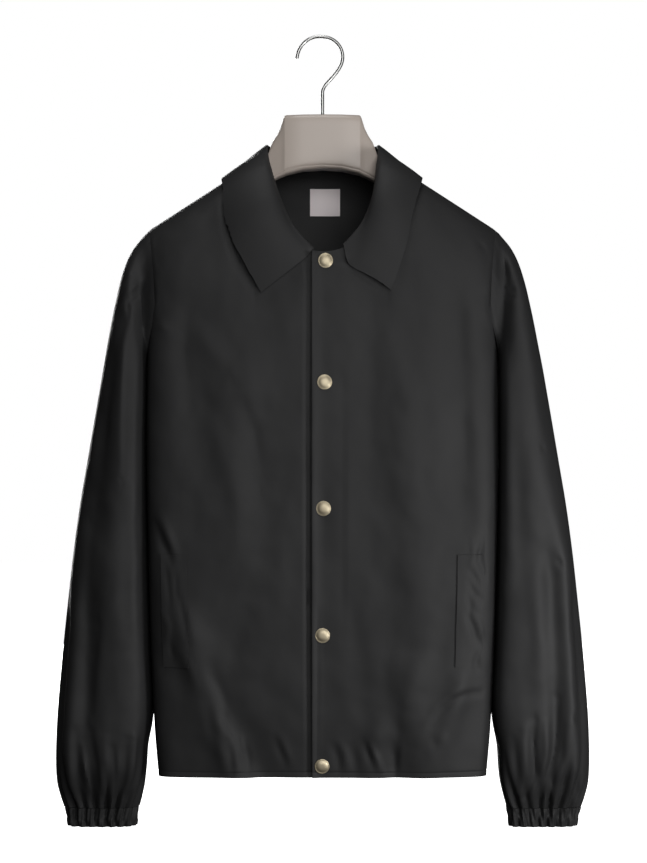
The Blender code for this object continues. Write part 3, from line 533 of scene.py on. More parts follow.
creaseReach = 3.2           # half widths beyond which a crease isn't felt
creaseEnds = (0.06, 0.94)   # shares of its length between which it deepens and fades
creases = {
    "front": (
        # The deep fold at the lower left of the picture, and those beside it.
        ([(-146, -705), (-130, -742), (-116, -778), (-106, -812), (-100, -838)], 11, 0.35, 1.9),
        ([(-128, -700), (-120, -735), (-108, -770)], 8, 0.0, -1.6),
        ([(-118, -800), (-112, -818), (-110, -836)], 5, 0.3, 1.3),
        ([(-101, -796), (-97, -812), (-96, -834)], 6, 0.4, 1.5),
        ([(-106, -802), (-103, -818), (-101, -838)], 4, 0.0, -1.8),
        ([(-88, -806), (-84, -820), (-83, -838)], 4, 0.0, -1.5),
        ([(-52, -800), (-47, -812), (-41, -826)], 4, 0.3, -1.6),
        ([(-46, -798), (-41, -812), (-36, -826)], 4, 0.0, 1.2),
        # The pinch from the left armhole, and small pulls beside the welt.
        ([(-186, -558), (-178, -578), (-170, -596)], 5, 0.4, -2.4),
        ([(-182, -548), (-172, -572), (-165, -592)], 5, 0.0, 1.8),
        ([(-160, -640), (-154, -668), (-150, -690)], 4, 0.3, -1.4),
        ([(-156, -700), (-148, -716), (-142, -738)], 5, 0.3, 1.6),
        # Smaller creases that break up the deep fold.
        ([(-126, -733), (-118, -750), (-113, -768)], 4, 0.3, 1.3),
        ([(-113, -768), (-107, -784)], 3.5, 0.0, -1.4),
        ([(-131, -756), (-125, -786), (-119, -806)], 6, 0.0, -1.5),
        ([(-106, -790), (-103, -804)], 2.6, 0.0, 1.1),
        ([(-92, -798), (-89, -814)], 2.6, 0.0, 1.1),
        # The crumpled welts.
        ([(-177, -598), (-173, -622), (-171, -648)], 3.0, 0.3, -1.1),
        ([(-165, -612), (-164, -640)], 2.2, 0.0, -0.8),
        ([(-179, -655), (-173, -672), (-175, -690)], 3.2, 0.0, 1.2),
        ([(-171, -690), (-167, -706)], 3.0, 0.0, -1.0),
        ([(165, -606), (171, -614), (176, -625)], 2.4, 0.4, -1.3),
        ([(164, -658), (170, -671), (174, -684), (179, -692)], 2.8, 0.5, -2.4),
        ([(166, -622), (172, -634), (179, -640)], 2.4, 0.5, -1.8),
        ([(171, -640), (174, -650), (180, -655)], 2.2, 0.0, 1.2),
        ([(178, -700), (172, -712), (176, -722)], 2.4, 0.4, -1.6),
        ([(181, -580), (176, -596), (182, -612)], 2.4, 0.3, -1.6),
        ([(170, -656), (177, -669), (181, -684)], 2.6, 0.0, 1.2),
        ([(163, -633), (166, -648), (165, -660)], 2.2, 0.0, -0.9),
        ([(168, -574), (170, -590), (166, -602)], 2.6, 0.0, 0.9),
        ([(172, -704), (176, -715), (180, -722)], 3.0, 0.0, -0.9),
        ([(182, -560), (179, -590), (184, -620)], 3.0, 0.3, -1.2),
        # The under front sinks a little along the lap's edge.
        ([(-15.5, -262), (-15.5, -450), (-15.5, -640), (-15, -838)], 2.4, 0.0, -3.2),
        # The fronts sink a little beside the collar's edges.
        ([(-113, -186), (-109, -222), (-97, -258), (-76, -294)], 3.2, 0.0, -2.6),
        ([(24, -262), (40, -272), (56, -283), (73, -294)], 3.2, 0.0, -2.6),
        ([(-5, -652), (-5.5, -745), (-6, -836)], 1.6, 0.5, -0.8),
        # Gathers beside the lowest snap.
        ([(14, -806), (18, -818), (20, -834)], 4, 0.4, -2.0),
        ([(20, -804), (26, -816), (28, -832)], 4, 0.0, 1.6),
        ([(33, -808), (37, -822), (38, -836)], 5, 0.0, -1.4),
        ([(49, -803), (53, -815), (58, -828)], 3.5, 0.5, -2.6),
        ([(56, -808), (62, -822), (68, -838)], 4, 0.4, 2.2),
        ([(78, -806), (81, -820), (82, -838)], 5, 0.0, -1.5),
        ([(90, -800), (90, -818), (88, -838)], 6, 0.0, 1.2),
        ([(126, -796), (128, -808)], 3, 0.4, -1.4),
        ([(136, -792), (139, -806)], 4, 0.0, 1.0),
        # The arc below the right-hand welt, and the soft folds that run from it.
        ([(122, -782), (132, -768), (146, -754), (160, -748), (180, -747)], 4, 0.0, -2.2),
        ([(118, -778), (130, -762), (148, -747), (176, -741)], 6, 0.0, 1.4),
        ([(104, -812), (118, -788), (128, -770)], 8, 0.3, 1.8),
        ([(120, -690), (104, -730), (92, -770)], 14, 0.0, 1.8),
        ([(140, -660), (128, -710), (112, -742)], 12, 0.0, -1.4),
        # Long soft folds down the fronts.
        ([(150, -300), (156, -380), (160, -480), (166, -560)], 16, 0.3, -1.2),
        ([(120, -320), (128, -400), (132, -500)], 18, 0.0, 1.0),
        ([(70, -350), (96, -410), (104, -470)], 15, 0.0, 1.0),
        ([(60, -300), (52, -380), (58, -470)], 16, 0.0, -1.2),
        ([(-70, -430), (-76, -500), (-66, -590)], 16, 0.0, -1.6),
        ([(-144, -336), (-122, -362), (-104, -380)], 12, 0.0, 1.4),
        ([(-96, -404), (-78, -450), (-70, -505)], 12, 0.3, -1.5),
        ([(-140, -430), (-112, -470), (-96, -540)], 13, 0.0, 1.1),
        ([(-150, -300), (-156, -360), (-150, -430)], 10, 0.3, -1.2),
        ([(-40, -560), (-48, -640), (-60, -720)], 16, 0.0, 1.5),
        ([(-84, -640), (-96, -690), (-104, -730)], 14, 0.0, -1.4),
        ([(30, -600), (36, -680), (44, -760)], 14, 0.0, -1.2),
        ([(48, -660), (58, -730), (62, -790)], 12, 0.0, 1.5),
        ([(104, -690), (98, -760), (92, -840)], 30, 0.0, 6.5),
        ([(178, -700), (174, -770), (172, -842)], 22, 0.0, -3.2),
        # The facing's inner edge shows through beside the lap.
        ([(25, -392), (25, -560), (25, -690)], 3, 0.8, -0.5),
        # Small pulls at the armholes.
        ([(178, -238), (184, -246)], 3.5, 0.3, -1.4),
        ([(170, -300), (180, -296)], 5, 0.0, -0.8),
        ([(-182, -306), (-172, -302), (-160, -304)], 4, 0.0, -0.9),
        ([(-186, -330), (-174, -338)], 4, 0.0, 0.8),
    ),
    "back": (
        ([(-120, -300), (-112, -400), (-104, -520)], 15, 0.3, 2.2),
        ([(118, -290), (112, -420), (98, -560)], 14, 0.3, 2.4),
        ([(-30, -260), (-20, -380), (-26, -470)], 16, 0.0, 1.4),
        ([(44, -270), (38, -390), (46, -500)], 15, 0.0, -1.5),
        ([(-160, -430), (-150, -560), (-156, -660)], 12, 0.3, -2.0),
        ([(162, -400), (154, -520), (148, -620)], 12, 0.3, -1.9),
        ([(-150, -640), (-128, -720), (-104, -830)], 10, 0.5, 3.0),
        ([(-122, -690), (-100, -770), (-84, -838)], 9, 0.0, -2.2),
        ([(140, -650), (122, -740), (112, -838)], 10, 0.5, 2.6),
        ([(112, -700), (96, -780), (90, -838)], 9, 0.0, -2.0),
        ([(-64, -790), (-58, -812), (-56, -838)], 5, 0.3, 2.0),
        ([(-44, -800), (-40, -818), (-36, -838)], 4, 0.3, -1.8),
        ([(-14, -796), (-10, -816), (-10, -838)], 5, 0.0, 1.8),
        ([(14, -802), (18, -820), (16, -838)], 4, 0.4, -1.7),
        ([(38, -792), (42, -814), (46, -838)], 5, 0.3, 2.0),
        ([(66, -804), (70, -820), (70, -838)], 4, 0.0, -1.6),
        ([(-90, -560), (-60, -600), (-20, -612)], 12, 0.0, 1.3),
        ([(92, -540), (60, -590), (24, -606)], 12, 0.0, -1.2),
    ),
    "leftSleeveFront": (
        # The hollow and the crumple under the shoulder seam.
        ([(205, -252), (206, -266), (207, -284)], 5.5, 0.4, -4.4),
        ([(207, -296), (213, -293), (219, -290)], 2.6, 0.0, -1.9),
        ([(206, -302), (213, -300), (220, -297)], 2.2, 0.0, -1.6),
        ([(206, -299), (213, -296.5), (220, -293.5)], 1.8, 0.0, 0.9),
        ([(209, -305), (215, -304), (221, -302)], 2.4, 0.0, 1.0),
        ([(216, -282), (224, -292), (229, -306)], 6, 0.0, 1.2),
        ([(214, -300), (216, -340), (218, -380)], 8, 0.0, 1.4),
        ([(226, -400), (234, -480), (236, -560)], 12, 0.0, 1.8),
        ([(216, -470), (220, -540), (224, -610)], 10, 0.0, -1.6),
        ([(246, -468), (250, -473)], 2.6, 0.0, -1.6),
        ([(264, -596), (270, -604)], 2.8, 0.0, -1.8),
        ([(252, -560), (256, -620), (258, -680)], 10, 0.0, -1.3),
        ([(240, -600), (242, -670), (246, -730)], 9, 0.0, 1.5),
        # The troughs that run up from the cuff.
        ([(240, -778), (238, -802), (241, -842), (231, -866)], 5, 0.4, -3.6),
        ([(265, -752), (263, -812), (252, -852), (250, -868)], 5.5, 0.4, -3.8),
        ([(286, -772), (288, -782)], 3, 0.0, -2.0),
        ([(278, -833), (271, -860)], 3.5, 0.0, -2.4),
        ([(288, -842), (290, -868)], 3.5, 0.0, -2.0),
        ([(228, -788), (228, -830), (226, -862)], 6, 0.0, 2.6),
        ([(252, -782), (254, -820), (246, -846)], 5, 0.0, 2.4),
        ([(277, -780), (276, -820), (262, -856)], 5, 0.0, 2.2),
        ([(216, -800), (220, -840), (222, -868)], 5, 0.3, -2.2),
        ([(258, -850), (262, -872)], 3, 0.0, 1.8),
        ([(296, -800), (296, -840)], 5, 0.0, 1.2),
    ),
    "rightSleeveFront": (
        ([(-208, -268), (-216, -276), (-226, -282)], 5, 0.0, -1.6),
        ([(-206, -282), (-216, -290), (-226, -300)], 4, 0.3, 2.0),
        ([(-204, -292), (-212, -302), (-222, -306)], 3.5, 0.3, -2.2),
        ([(-222, -318), (-226, -400), (-228, -500)], 7, 0.5, 2.2),
        ([(-210, -320), (-214, -400), (-216, -500)], 7, 0.0, -1.8),
        ([(-238, -340), (-246, -430), (-252, -520)], 10, 0.3, -2.4),
        ([(-256, -440), (-262, -500)], 5, 0.0, 1.6),
        ([(-232, -500), (-240, -590), (-236, -680)], 12, 0.0, 1.8),
        ([(-262, -560), (-268, -640), (-266, -700)], 10, 0.3, -1.8),
        ([(-218, -560), (-222, -640), (-216, -700)], 8, 0.0, -1.6),
        ([(-254, -670), (-262, -720), (-264, -770)], 9, 0.4, -2.2),
        ([(-272, -806), (-268, -836), (-262, -866)], 4, 0.4, 2.6),
        ([(-280, -790), (-276, -830), (-270, -866)], 5, 0.0, -2.2),
        ([(-262, -790), (-256, -830), (-254, -866)], 5, 0.3, -2.4),
        ([(-246, -800), (-244, -830), (-242, -862)], 5, 0.0, 2.0),
        ([(-236, -810), (-234, -840), (-236, -868)], 4, 0.3, -2.4),
        ([(-212, -798), (-214, -830), (-218, -858)], 5, 0.4, 2.6),
        ([(-220, -800), (-222, -836), (-226, -866)], 4.5, 0.0, -2.4),
        ([(-286, -820), (-284, -866)], 4, 0.0, 1.6),
        ([(-250, -836), (-248, -868)], 3, 0.0, 1.6),
    ),
    "leftSleeveBack": (
        ([(214, -270), (220, -320), (224, -400)], 8, 0.3, -2.4),
        ([(230, -360), (238, -460), (240, -560)], 10, 0.0, 2.0),
        ([(222, -480), (228, -580), (226, -660)], 9, 0.0, -1.8),
        ([(256, -520), (266, -620), (268, -700)], 9, 0.3, 1.8),
        ([(238, -680), (244, -780), (240, -862)], 6, 0.4, -3.2),
        ([(254, -740), (258, -810), (252, -866)], 5, 0.0, 2.6),
        ([(270, -760), (272, -820), (264, -866)], 5, 0.4, -2.8),
        ([(222, -790), (224, -830), (228, -866)], 4.5, 0.0, 2.2),
        ([(286, -800), (284, -862)], 4, 0.0, -2.0),
    ),
    "rightSleeveBack": (
        ([(-212, -275), (-218, -340), (-222, -420)], 8, 0.3, -2.2),
        ([(-234, -340), (-242, -440), (-246, -520)], 10, 0.0, 1.8),
        ([(-224, -520), (-230, -600), (-228, -690)], 9, 0.0, -2.0),
        ([(-260, -560), (-268, -650), (-266, -730)], 8, 0.3, -1.8),
        ([(-236, -700), (-240, -790), (-242, -864)], 6, 0.4, 3.0),
        ([(-250, -750), (-256, -815), (-254, -866)], 5, 0.0, -2.8),
        ([(-272, -770), (-270, -830), (-266, -866)], 5, 0.3, 2.4),
        ([(-220, -800), (-224, -840), (-226, -866)], 4, 0.0, -2.2),
        ([(-288, -810), (-284, -864)], 4, 0.0, 1.8),
    ),
}


def creaseRelief(rows, x, z):
    # Soft troughs and ridges that die out at both ends, in metres.
    height = np.zeros(len(x))
    place = np.stack([x, z], -1) * 1000
    for path, halfWidth, skew, depth in rows:
        path = np.array(path, float)
        reach = creaseReach * halfWidth
        near = np.flatnonzero((place[:, 0] > path[:, 0].min() - reach)
                              & (place[:, 0] < path[:, 0].max() + reach)
                              & (place[:, 1] > path[:, 1].min() - reach)
                              & (place[:, 1] < path[:, 1].max() + reach))
        if not len(near):
            continue
        best, side, along = np.full(len(near), 1e9), np.zeros(len(near)), np.zeros(len(near))
        lengths = np.linalg.norm(np.diff(path, axis=0), axis=1)
        total, passed = lengths.sum(), 0.0
        for start, end, length in zip(path, path[1:], lengths):
            way = (end - start) / length
            off = place[near] - start
            t = np.clip(off @ way, 0, length)
            apart = np.linalg.norm(off - t[:, None] * way, axis=1)
            closer = apart < best
            best = np.where(closer, apart, best)
            turned = off[:, 0] * way[1] - off[:, 1] * way[0]
            side = np.where(closer, np.sign(turned) * (1 if way[1] < 0 else -1), side)
            along = np.where(closer, (passed + t) / total, along)
            passed += length
        width = halfWidth * (1 + skew * side)
        taper = np.sqrt(np.sin(np.clip(along, *creaseEnds) * math.pi))
        height[near] += depth / 1000 * taper * np.exp(-(best / width) ** 2)
    return height


# Slack is low unevenness, a little longer than wide, and a pucker is finer, beside a seam.
slackLook = {"stretch": (1.0, 1.0, 0.75), "scale": 0.034, "fineScale": 0.015, "fineShare": 0.30,
             "looseFrom": 0.25}
seamLook = {"deep": 0.0011, "wide": 0.0022, "clear": 0.010, "puckerScale": 0.006,
            "puckerStart": 0.002, "shoulderZ": -0.29, "shoulderFade": 0.05}
facingFade = 0.45    # how slowly relief fades as the cloth turns from the front or the back
panelCloth = {"facing": -0.05, "slack": 0.0013, "pucker": 0.00045, "puckerWide": 0.010,
              "seed": 11}
sleeveCloth = {"facing": 0.05, "slack": 0.0014, "pucker": 0.0006, "puckerWide": 0.012,
               "seed": 13, "endFade": 0.006}


def crinkle(points, scale, seed):
    # An even, seeded unevenness from -1 to 1.
    shift = Vector((seed * 3.7, seed * 1.9, seed * 5.3))
    return np.array([noise.noise(Vector(point) / scale + shift) for point in points])


def slackRelief(points, normals):
    # Cloth is slack on its broad faces, and lies still where a sleeve and the body nearly touch.
    stretched = points * np.array(slackLook["stretch"])
    height = crinkle(stretched, slackLook["scale"], 3)
    height += slackLook["fineShare"] * crinkle(stretched, slackLook["fineScale"], 7)
    return height, ease((np.abs(normals[:, 1]) - slackLook["looseFrom"]) / facingFade)


def seamTree(lines):
    points = np.concatenate(lines)
    tree = KDTree(len(points))
    for i, point in enumerate(points):
        tree.insert(Vector(point), i)
    tree.balance()
    return tree


def seamDistance(tree, points):
    return np.array([tree.find(Vector(point))[2] for point in points])


def seamPress(points, apart):
    # How far a seam pulls the cloth in, half as much on the shoulder, where it lies taut.
    onShoulder = ease((points[:, 2] - seamLook["shoulderZ"]) / seamLook["shoulderFade"])
    return seamLook["deep"] * (1 - 0.5 * onShoulder) * np.exp(-(apart / seamLook["wide"]) ** 2)


armholes = {1: armholeRing(frontLeftHalf, backLeftHalf),
            -1: armholeRing(frontRightHalf, backRightHalf)}
sleeveGrids = {side: sleeveGrid(side, armholes[side]) for side in (1, -1)}
seams = [armholes[1], armholes[-1]]
necks = []
for main, wrap in (frontLeftHalf, frontRightHalf, backLeftHalf, backRightHalf):
    seams += [main[-1, -jacket["shoulderLines"]:], wrap[:, -1]]
    necks.append(main[-1, :1 - jacket["shoulderLines"]])
seamLines = seamTree(seams + necks)


def shapeCloth(piece, cloth, faces, hold=None, groove=None):
    # Adds creases, slack and puckers along the surface's normals, and presses the seams in.
    points, normals = readPoints(piece), readNormals(piece)
    apart = seamDistance(seamLines, points)
    amount = np.zeros(len(points))
    for name, direction in faces:
        facing = ease((direction * normals[:, 1] + cloth["facing"]) / facingFade)
        amount += creaseRelief(creases[name], points[:, 0], points[:, 2]) * facing
    height, loose = slackRelief(points, normals)
    amount += cloth["slack"] * height * loose
    still = ease(apart / seamLook["clear"])
    if hold:
        still = still * hold(points[:, 2])
    amount *= still
    pucker = cloth["pucker"] * crinkle(points, seamLook["puckerScale"], cloth["seed"])
    pucker *= np.exp(-(apart / cloth["puckerWide"]) ** 2)
    amount += pucker * ease(apart / seamLook["puckerStart"])
    amount -= seamPress(points, apart)
    if groove:
        amount -= groove(points[:, 2])
    writePoints(piece, points + normals * amount[:, None])


def hemGroove(z):
    # The hem's stitching sinks in.
    stitch = jacket["hemZ"] + jacket["stitchUp"]
    return jacket["stitchDeep"] * np.exp(-((z - stitch) / jacket["stitchWide"]) ** 2)


def makeBody():
    frontLeft = clothMesh("front_left_shell", panelGrids(frontLeftHalf, 1))
    frontRight = clothMesh("front_right_shell", panelGrids(frontRightHalf, -1), flip=True)
    back = clothMesh("back_shell", panelGrids(backLeftHalf, 1), flip=True)
    backRight = clothMesh("back_right_half", panelGrids(backRightHalf, -1))
    makeActive(back)
    backRight.select_set(True)
    bpy.ops.object.join()
    bpy.ops.object.mode_set(mode="EDIT")
    bpy.ops.mesh.select_all(action="SELECT")
    bpy.ops.mesh.remove_doubles(threshold=weld)
    bpy.ops.object.mode_set(mode="OBJECT")
    for piece in (frontLeft, frontRight):
        shapeCloth(piece, panelCloth, (("front", -1),), groove=hemGroove)
    shapeCloth(back, panelCloth, (("back", 1),), groove=hemGroove)
    return frontLeft, frontRight, back


# Waves round a sleeve that make its gathers uneven: height, count and shift.
gatherDrift = ((0.35, 3, 0.13), (0.25, 7, 0.31))
gatherSwell = (0.35, 5, 0.21)


def slowWave(around, side, height, count, shift):
    return height * np.sin(2 * math.pi * (count * around + shift * side))


def gatherWave(around, side):
    drift = slowWave(around, side, *gatherDrift[0]) + slowWave(around, side, *gatherDrift[1])
    wave = np.cos(2 * math.pi * sleeve["gathers"] * around + drift)
    return (wave - 0.25 * np.abs(wave)) * (1 + slowWave(around, side, *gatherSwell))


def longFoldRelief(side, around, z, girth):
    height = np.zeros(np.broadcast(around, z).shape)
    for place, topZ, footZ, halfWidth, depth in longFolds[side]:
        apart = np.abs(around - place)
        across = np.minimum(apart, 1 - apart) * girth
        past = np.maximum(np.maximum(z - topZ, footZ - z), 0.0)
        fall = -(past / sleeve["foldEnd"]) ** 2 - (across / halfWidth) ** 2
        height = height + depth * np.exp(fall)
    return height


def makeSleeve(side, name):
    grid = sleeveGrids[side]
    rows, columns = grid.shape[:2]
    around = np.arange(columns)[None, :] / columns
    girth = np.linalg.norm(grid - np.roll(grid, 1, axis=1), axis=-1).sum(1)[:, None]
    axis = np.gradient(grid.mean(1), axis=0)[:, None, :]
    ahead = np.roll(grid, -1, axis=1) - np.roll(grid, 1, axis=1)
    out = np.cross(ahead, -axis)
    out /= np.linalg.norm(out, axis=-1, keepdims=True)
    middle = grid.mean(1, keepdims=True)
    out *= np.sign((out * (grid - middle)).sum(-1).mean())
    z = grid[..., 2]
    amount = longFoldRelief(side, around, z, girth)
    nearCuff = ease(1 - (z - sleeve["endZ"]) / sleeve["gatherReach"])
    tip = sleeve["gatherTip"]
    gathers = gatherWave(around, side) * ((1 - tip) * nearCuff + tip * nearCuff ** 3)
    amount += sleeve["gatherDepth"] * gathers
    # Nothing moves at the armhole, where the sleeve meets the panels.
    start = ease((np.arange(rows) / rows * 0.65 - 0.004) / 0.02)[:, None]
    grid = grid + out * (amount * start)[..., None]
    piece = clothMesh(name, [(grid, tubePlaces(grid))], flip=side < 0, closed=True)
    arm = "leftSleeve" if side > 0 else "rightSleeve"
    shapeCloth(piece, sleeveCloth, ((arm + "Front", -1), (arm + "Back", 1)),
               hold=lambda z: ease((z - sleeve["endZ"]) / sleeveCloth["endFade"]))
    return piece, grid[-1]


# The cuffs

cuff = {
    "topZ": -0.8816,
    "endZ": -0.903,
    "rows": 16,
    "columns": 300,
    "tuckIn": 0.0016,
    "tuckUp": 0.0022,
    "edgeUp": 0.0001,
    # How far it narrows to its end, and the shares of that at its outer line, inner line and depth.
    "narrowing": 0.0033,
    "outerShare": 1.3,
    "innerShare": 0.7,
    "depthShare": 0.6,
    # The gathers, how they lean, fine pleats among them, and the elastic's pull half way down.
    "ripple": 0.0021,
    "lean": 0.004,
    "fineDepth": 0.30,
    "fineCount": 47,
    "fineTurn": 0.8,
    "squeeze": 0.35,
    "squeezeWide": 0.12,
}


def outwardOf(ring, side):
    # Level directions straight out of a ring.
    ahead = np.roll(ring, -1, axis=0) - np.roll(ring, 1, axis=0)
    out = np.cross(ahead, [0, 0, 1]) * side
    out /= np.linalg.norm(out, axis=1, keepdims=True)
    return out * np.sign((out * (ring - ring.mean(0))).sum(1).mean())


def makeCuff(side, name, sleeveEnd):
    columns = cuff["columns"]
    around = np.arange(columns) / columns
    # The top edge is tucked into the sleeve and follows its gathers.
    closed = np.concatenate([sleeveEnd, sleeveEnd[:1]])
    places = np.linspace(0, 1, len(closed))
    edge = np.stack([np.interp(around, places, closed[:, k]) for k in range(3)], -1)
    edge -= outwardOf(edge, side) * cuff["tuckIn"]
    rings = [edge + np.array([0, 0, up]) for up in (cuff["tuckUp"], cuff["edgeUp"])]
    for share in np.linspace(0, 1, cuff["rows"]):
        z = cuff["topZ"] + (cuff["endZ"] - cuff["topZ"]) * share
        narrow = cuff["narrowing"] * share
        outerX = sleeveOuter["x"][0] - cuff["outerShare"] * narrow
        innerX = sleeveInner["x"][0] + cuff["innerShare"] * narrow
        outer, inner = np.array([side * outerX, 0.0, z]), np.array([side * innerX, 0.0, z])
        half = sleeveDepth["half"][0] - cuff["depthShare"] * narrow
        ring = evenRing(outer, inner, half, sleeveDepth["middle"][0], columns)
        lean = cuff["lean"] * math.sin(share * math.pi * 1.5 + side)
        wave = gatherWave(around + lean, side)
        turns = cuff["fineCount"] * around + cuff["fineTurn"] * share
        fine = cuff["fineDepth"] * np.cos(2 * math.pi * turns)
        squeeze = 1 - cuff["squeeze"] * math.exp(-((share - 0.5) / cuff["squeezeWide"]) ** 2)
        amount = cuff["ripple"] * (wave * squeeze + fine)
        rings.append(ring + outwardOf(ring, side) * amount[:, None])
    grid = np.array(rings)
    return clothMesh(name, [(grid, tubePlaces(grid))], flip=side < 0, closed=True)


# The collar

collar = {
    "fold": 0.0025,
    "clear": 0.0028,
    "wall": 0.0016,
    "cloth": 0.0014,
    "endRight": 0.0106,
    "endLeft": 0.0235,
    "stations": 180,
    "standSteps": 6,
    "foldSteps": 8,
    "fallSteps": 26,
    "bowPeak": 0.62,
    "droopStart": 0.06,
    "droopPower": 1.6,
    # The leaves stand off at their edge, from this station round the neck on.
    "edgeLift": 0.0022,
    "liftFrom": 0.9,
    "liftOver": 0.4,
    "evenings": 2,
}
# Where the collar folds and where its edge lies, from -2 at the right end to 2 at the left one.
collarLine = {
    "station": (-2.00, -1.75, -1.50, -1.25, -1.00, -0.75, -0.50, -0.25, 0.00,
                0.25, 0.50, 0.75, 1.00, 1.25, 1.50, 1.75, 2.00),
    "foldX": (-0.0106, -0.0330, -0.0472, -0.0585, -0.0633, -0.0598, -0.0455, -0.0235, 0.0,
              0.0235, 0.0455, 0.0603, 0.0640, 0.0612, 0.0565, 0.0448, 0.0240),
    "foldY": (-0.0740, -0.0695, -0.0585, -0.0355, 0.0, 0.0195, 0.0335, 0.0425, 0.0455,
              0.0425, 0.0335, 0.0195, 0.0, -0.0335, -0.0545, -0.0675, -0.0750),
    "foldZ": (-0.2450, -0.2187, -0.1870, -0.1510, -0.1240, -0.1225, -0.1220, -0.1222, -0.1220,
              -0.1222, -0.1220, -0.1225, -0.1240, -0.1490, -0.1830, -0.2145, -0.2405),
    "edgeX": (-0.0686, -0.0945, -0.1055, -0.1085, -0.1105, -0.1030, -0.0860, -0.0500, 0.0,
              0.0500, 0.0860, 0.1030, 0.1100, 0.1065, 0.0995, 0.0925, 0.0770),
    "edgeY": (-0.0740, -0.0720, -0.0600, -0.0390, 0.0, 0.0290, 0.0450, 0.0570, 0.0620,
              0.0570, 0.0450, 0.0290, 0.0, -0.0390, -0.0600, -0.0720, -0.0740),
    "edgeZ": (-0.2955, -0.2480, -0.2130, -0.1805, -0.1645, -0.1680, -0.1740, -0.1820, -0.1860,
              -0.1820, -0.1740, -0.1680, -0.1640, -0.1800, -0.2130, -0.2480, -0.2930),
    "bow": (0.004, 0.007, 0.011, 0.007, 0.001, 0.002, 0.004, 0.006, 0.006,
            0.006, 0.004, 0.002, 0.001, 0.007, 0.011, 0.007, 0.003),
    "droop": (0.002, 0.001, 0.0, 0.0, 0.0, 0.0, 0.0, 0.0, 0.0,
              0.0, 0.0, 0.0, 0.0, 0.0, 0.0, 0.005, 0.021),
}


def neckSeam():
    # Points along the neck seam, each with its station round the neck.
    lapColumns = len(jacket["lapColumns"])
    left, right = (neck[lapColumns:] for neck in necks[:2])
    cut = np.flatnonzero(-right[:, 0] > collar["endRight"])[0]
    share = (collar["endRight"] + right[cut - 1, 0]) / (right[cut - 1, 0] - right[cut, 0])
    first = right[cut - 1] + (right[cut] - right[cut - 1]) * share
    right = np.concatenate([[first], right[cut:]])
    left = left[left[:, 0] > collar["endLeft"]]
    quarters = (right, necks[3][::-1], necks[2], left[::-1])
    stations, points = [], []
    for start, line in zip((-2, -1, 0, 1), quarters):
        steps = np.concatenate([[0], np.cumsum(np.linalg.norm(np.diff(line, axis=0), axis=1))])
        stations.append(start + steps / steps[-1])
        points.append(line)
    return np.concatenate(stations), np.concatenate(points)


def makeCollar(shell):
    stations, seamPoints = neckSeam()
    rows = []
    for station in np.linspace(-2, 2, collar["stations"]):
        seam = Vector([np.interp(station, stations, seamPoints[:, k]) for k in range(3)])
        fold = Vector([float(readTable(collarLine, "fold" + axis, station)) for axis in "XYZ"])
        edge = Vector([float(readTable(collarLine, "edge" + axis, station)) for axis in "XYZ"])
        place, outward, _, _ = shell.find_nearest(edge)
        lift = float(ease((abs(station) - collar["liftFrom"]) / collar["liftOver"]))
        edge = place + outward * (collar["clear"] + collar["edgeLift"] * lift)
        rise = (fold - seam).normalized()
        nearSeam = shell.find_nearest(seam)[1]
        apart = (nearSeam - rise * nearSeam.dot(rise)).normalized()
        centre = fold - rise * collar["fold"]
        hidden = collar["fold"] - collar["wall"]
        foot = centre - apart * hidden
        row = [seam.lerp(foot, k / collar["standSteps"]) for k in range(collar["standSteps"])]
        for k in range(collar["foldSteps"] + 1):
            angle = math.radians(-90 + 180 * k / collar["foldSteps"])
            row.append(centre + hidden * (rise * math.cos(angle) + apart * math.sin(angle)))
        start = row[-1]
        bow, droop = (float(readTable(collarLine, name, station)) for name in ("bow", "droop"))
        for k in range(1, collar["fallSteps"]):
            share = k / collar["fallSteps"]
            point = start.lerp(edge, share)
            fall = (1 - share) ** collar["droopPower"]
            point.z -= droop * (1 - math.exp(-share / collar["droopStart"])) * fall
            outward = apart.lerp(shell.find_nearest(point)[1], share).normalized()
            rounded = share ** collar["bowPeak"]
            point = point + outward * bow * 4 * rounded * (1 - rounded)
            place, facing, _, _ = shell.find_nearest(point)
            short = collar["clear"] - (point - place).dot(facing)
            row.append(point + facing * max(short, 0.0))
        row.append(edge)
        rows.append(row)
    grid = np.array([[tuple(point) for point in row] for row in rows])
    for _ in range(collar["evenings"]):
        # Evens out the surface between its edges.
        fall = grid[:, collar["standSteps"] + collar["foldSteps"]:]
        fall[1:-1, 1:-1] = (fall[1:-1, 1:-1] * 2 + fall[:-2, 1:-1] + fall[2:, 1:-1]
                            + fall[1:-1, :-2] + fall[1:-1, 2:]) / 6
    return clothMesh("collar_shell", [(grid, flatPlaces(grid))], flip=True)


def treeOf(*pieces):
    # What rays and nearest points are looked up on.
    points, faces = [], []
    for piece in pieces:
        start = len(points)
        points += [vertex.co.copy() for vertex in piece.data.vertices]
        faces += [[i + start for i in face.vertices] for face in piece.data.polygons]
    return BVHTree.FromPolygons(points, faces)


# The pocket welts

welt = {"columns": (0.1515, 0.1825), "rows": (-0.7205, -0.5885), "clear": 0.0005, "wall": 0.0014}


def makeWelt(name, half, lap, side, shell):
    # A welt lies on its front: the same rows and columns, moved out onto the creased cloth.
    notchX = columnPlaces(lap)[0]
    columns = np.flatnonzero((notchX > welt["columns"][0]) & (notchX < welt["columns"][1]))
    rows = np.flatnonzero((rowZ > welt["rows"][0]) & (rowZ < welt["rows"][1]))
    grid = half[0][rows[0]:rows[-1] + 1, columns[0]:columns[-1] + 1].copy()
    for row in grid:
        for i, point in enumerate(row):
            place, facing, _, _ = shell.find_nearest(Vector(point))
            row[i] = place + facing * welt["clear"]
    flat = flatPlaces(grid) * np.array([side, 1])
    return clothMesh(name, [(grid, flat)], flip=side < 0)


# The neck label, sewn flat to the inner face of the back

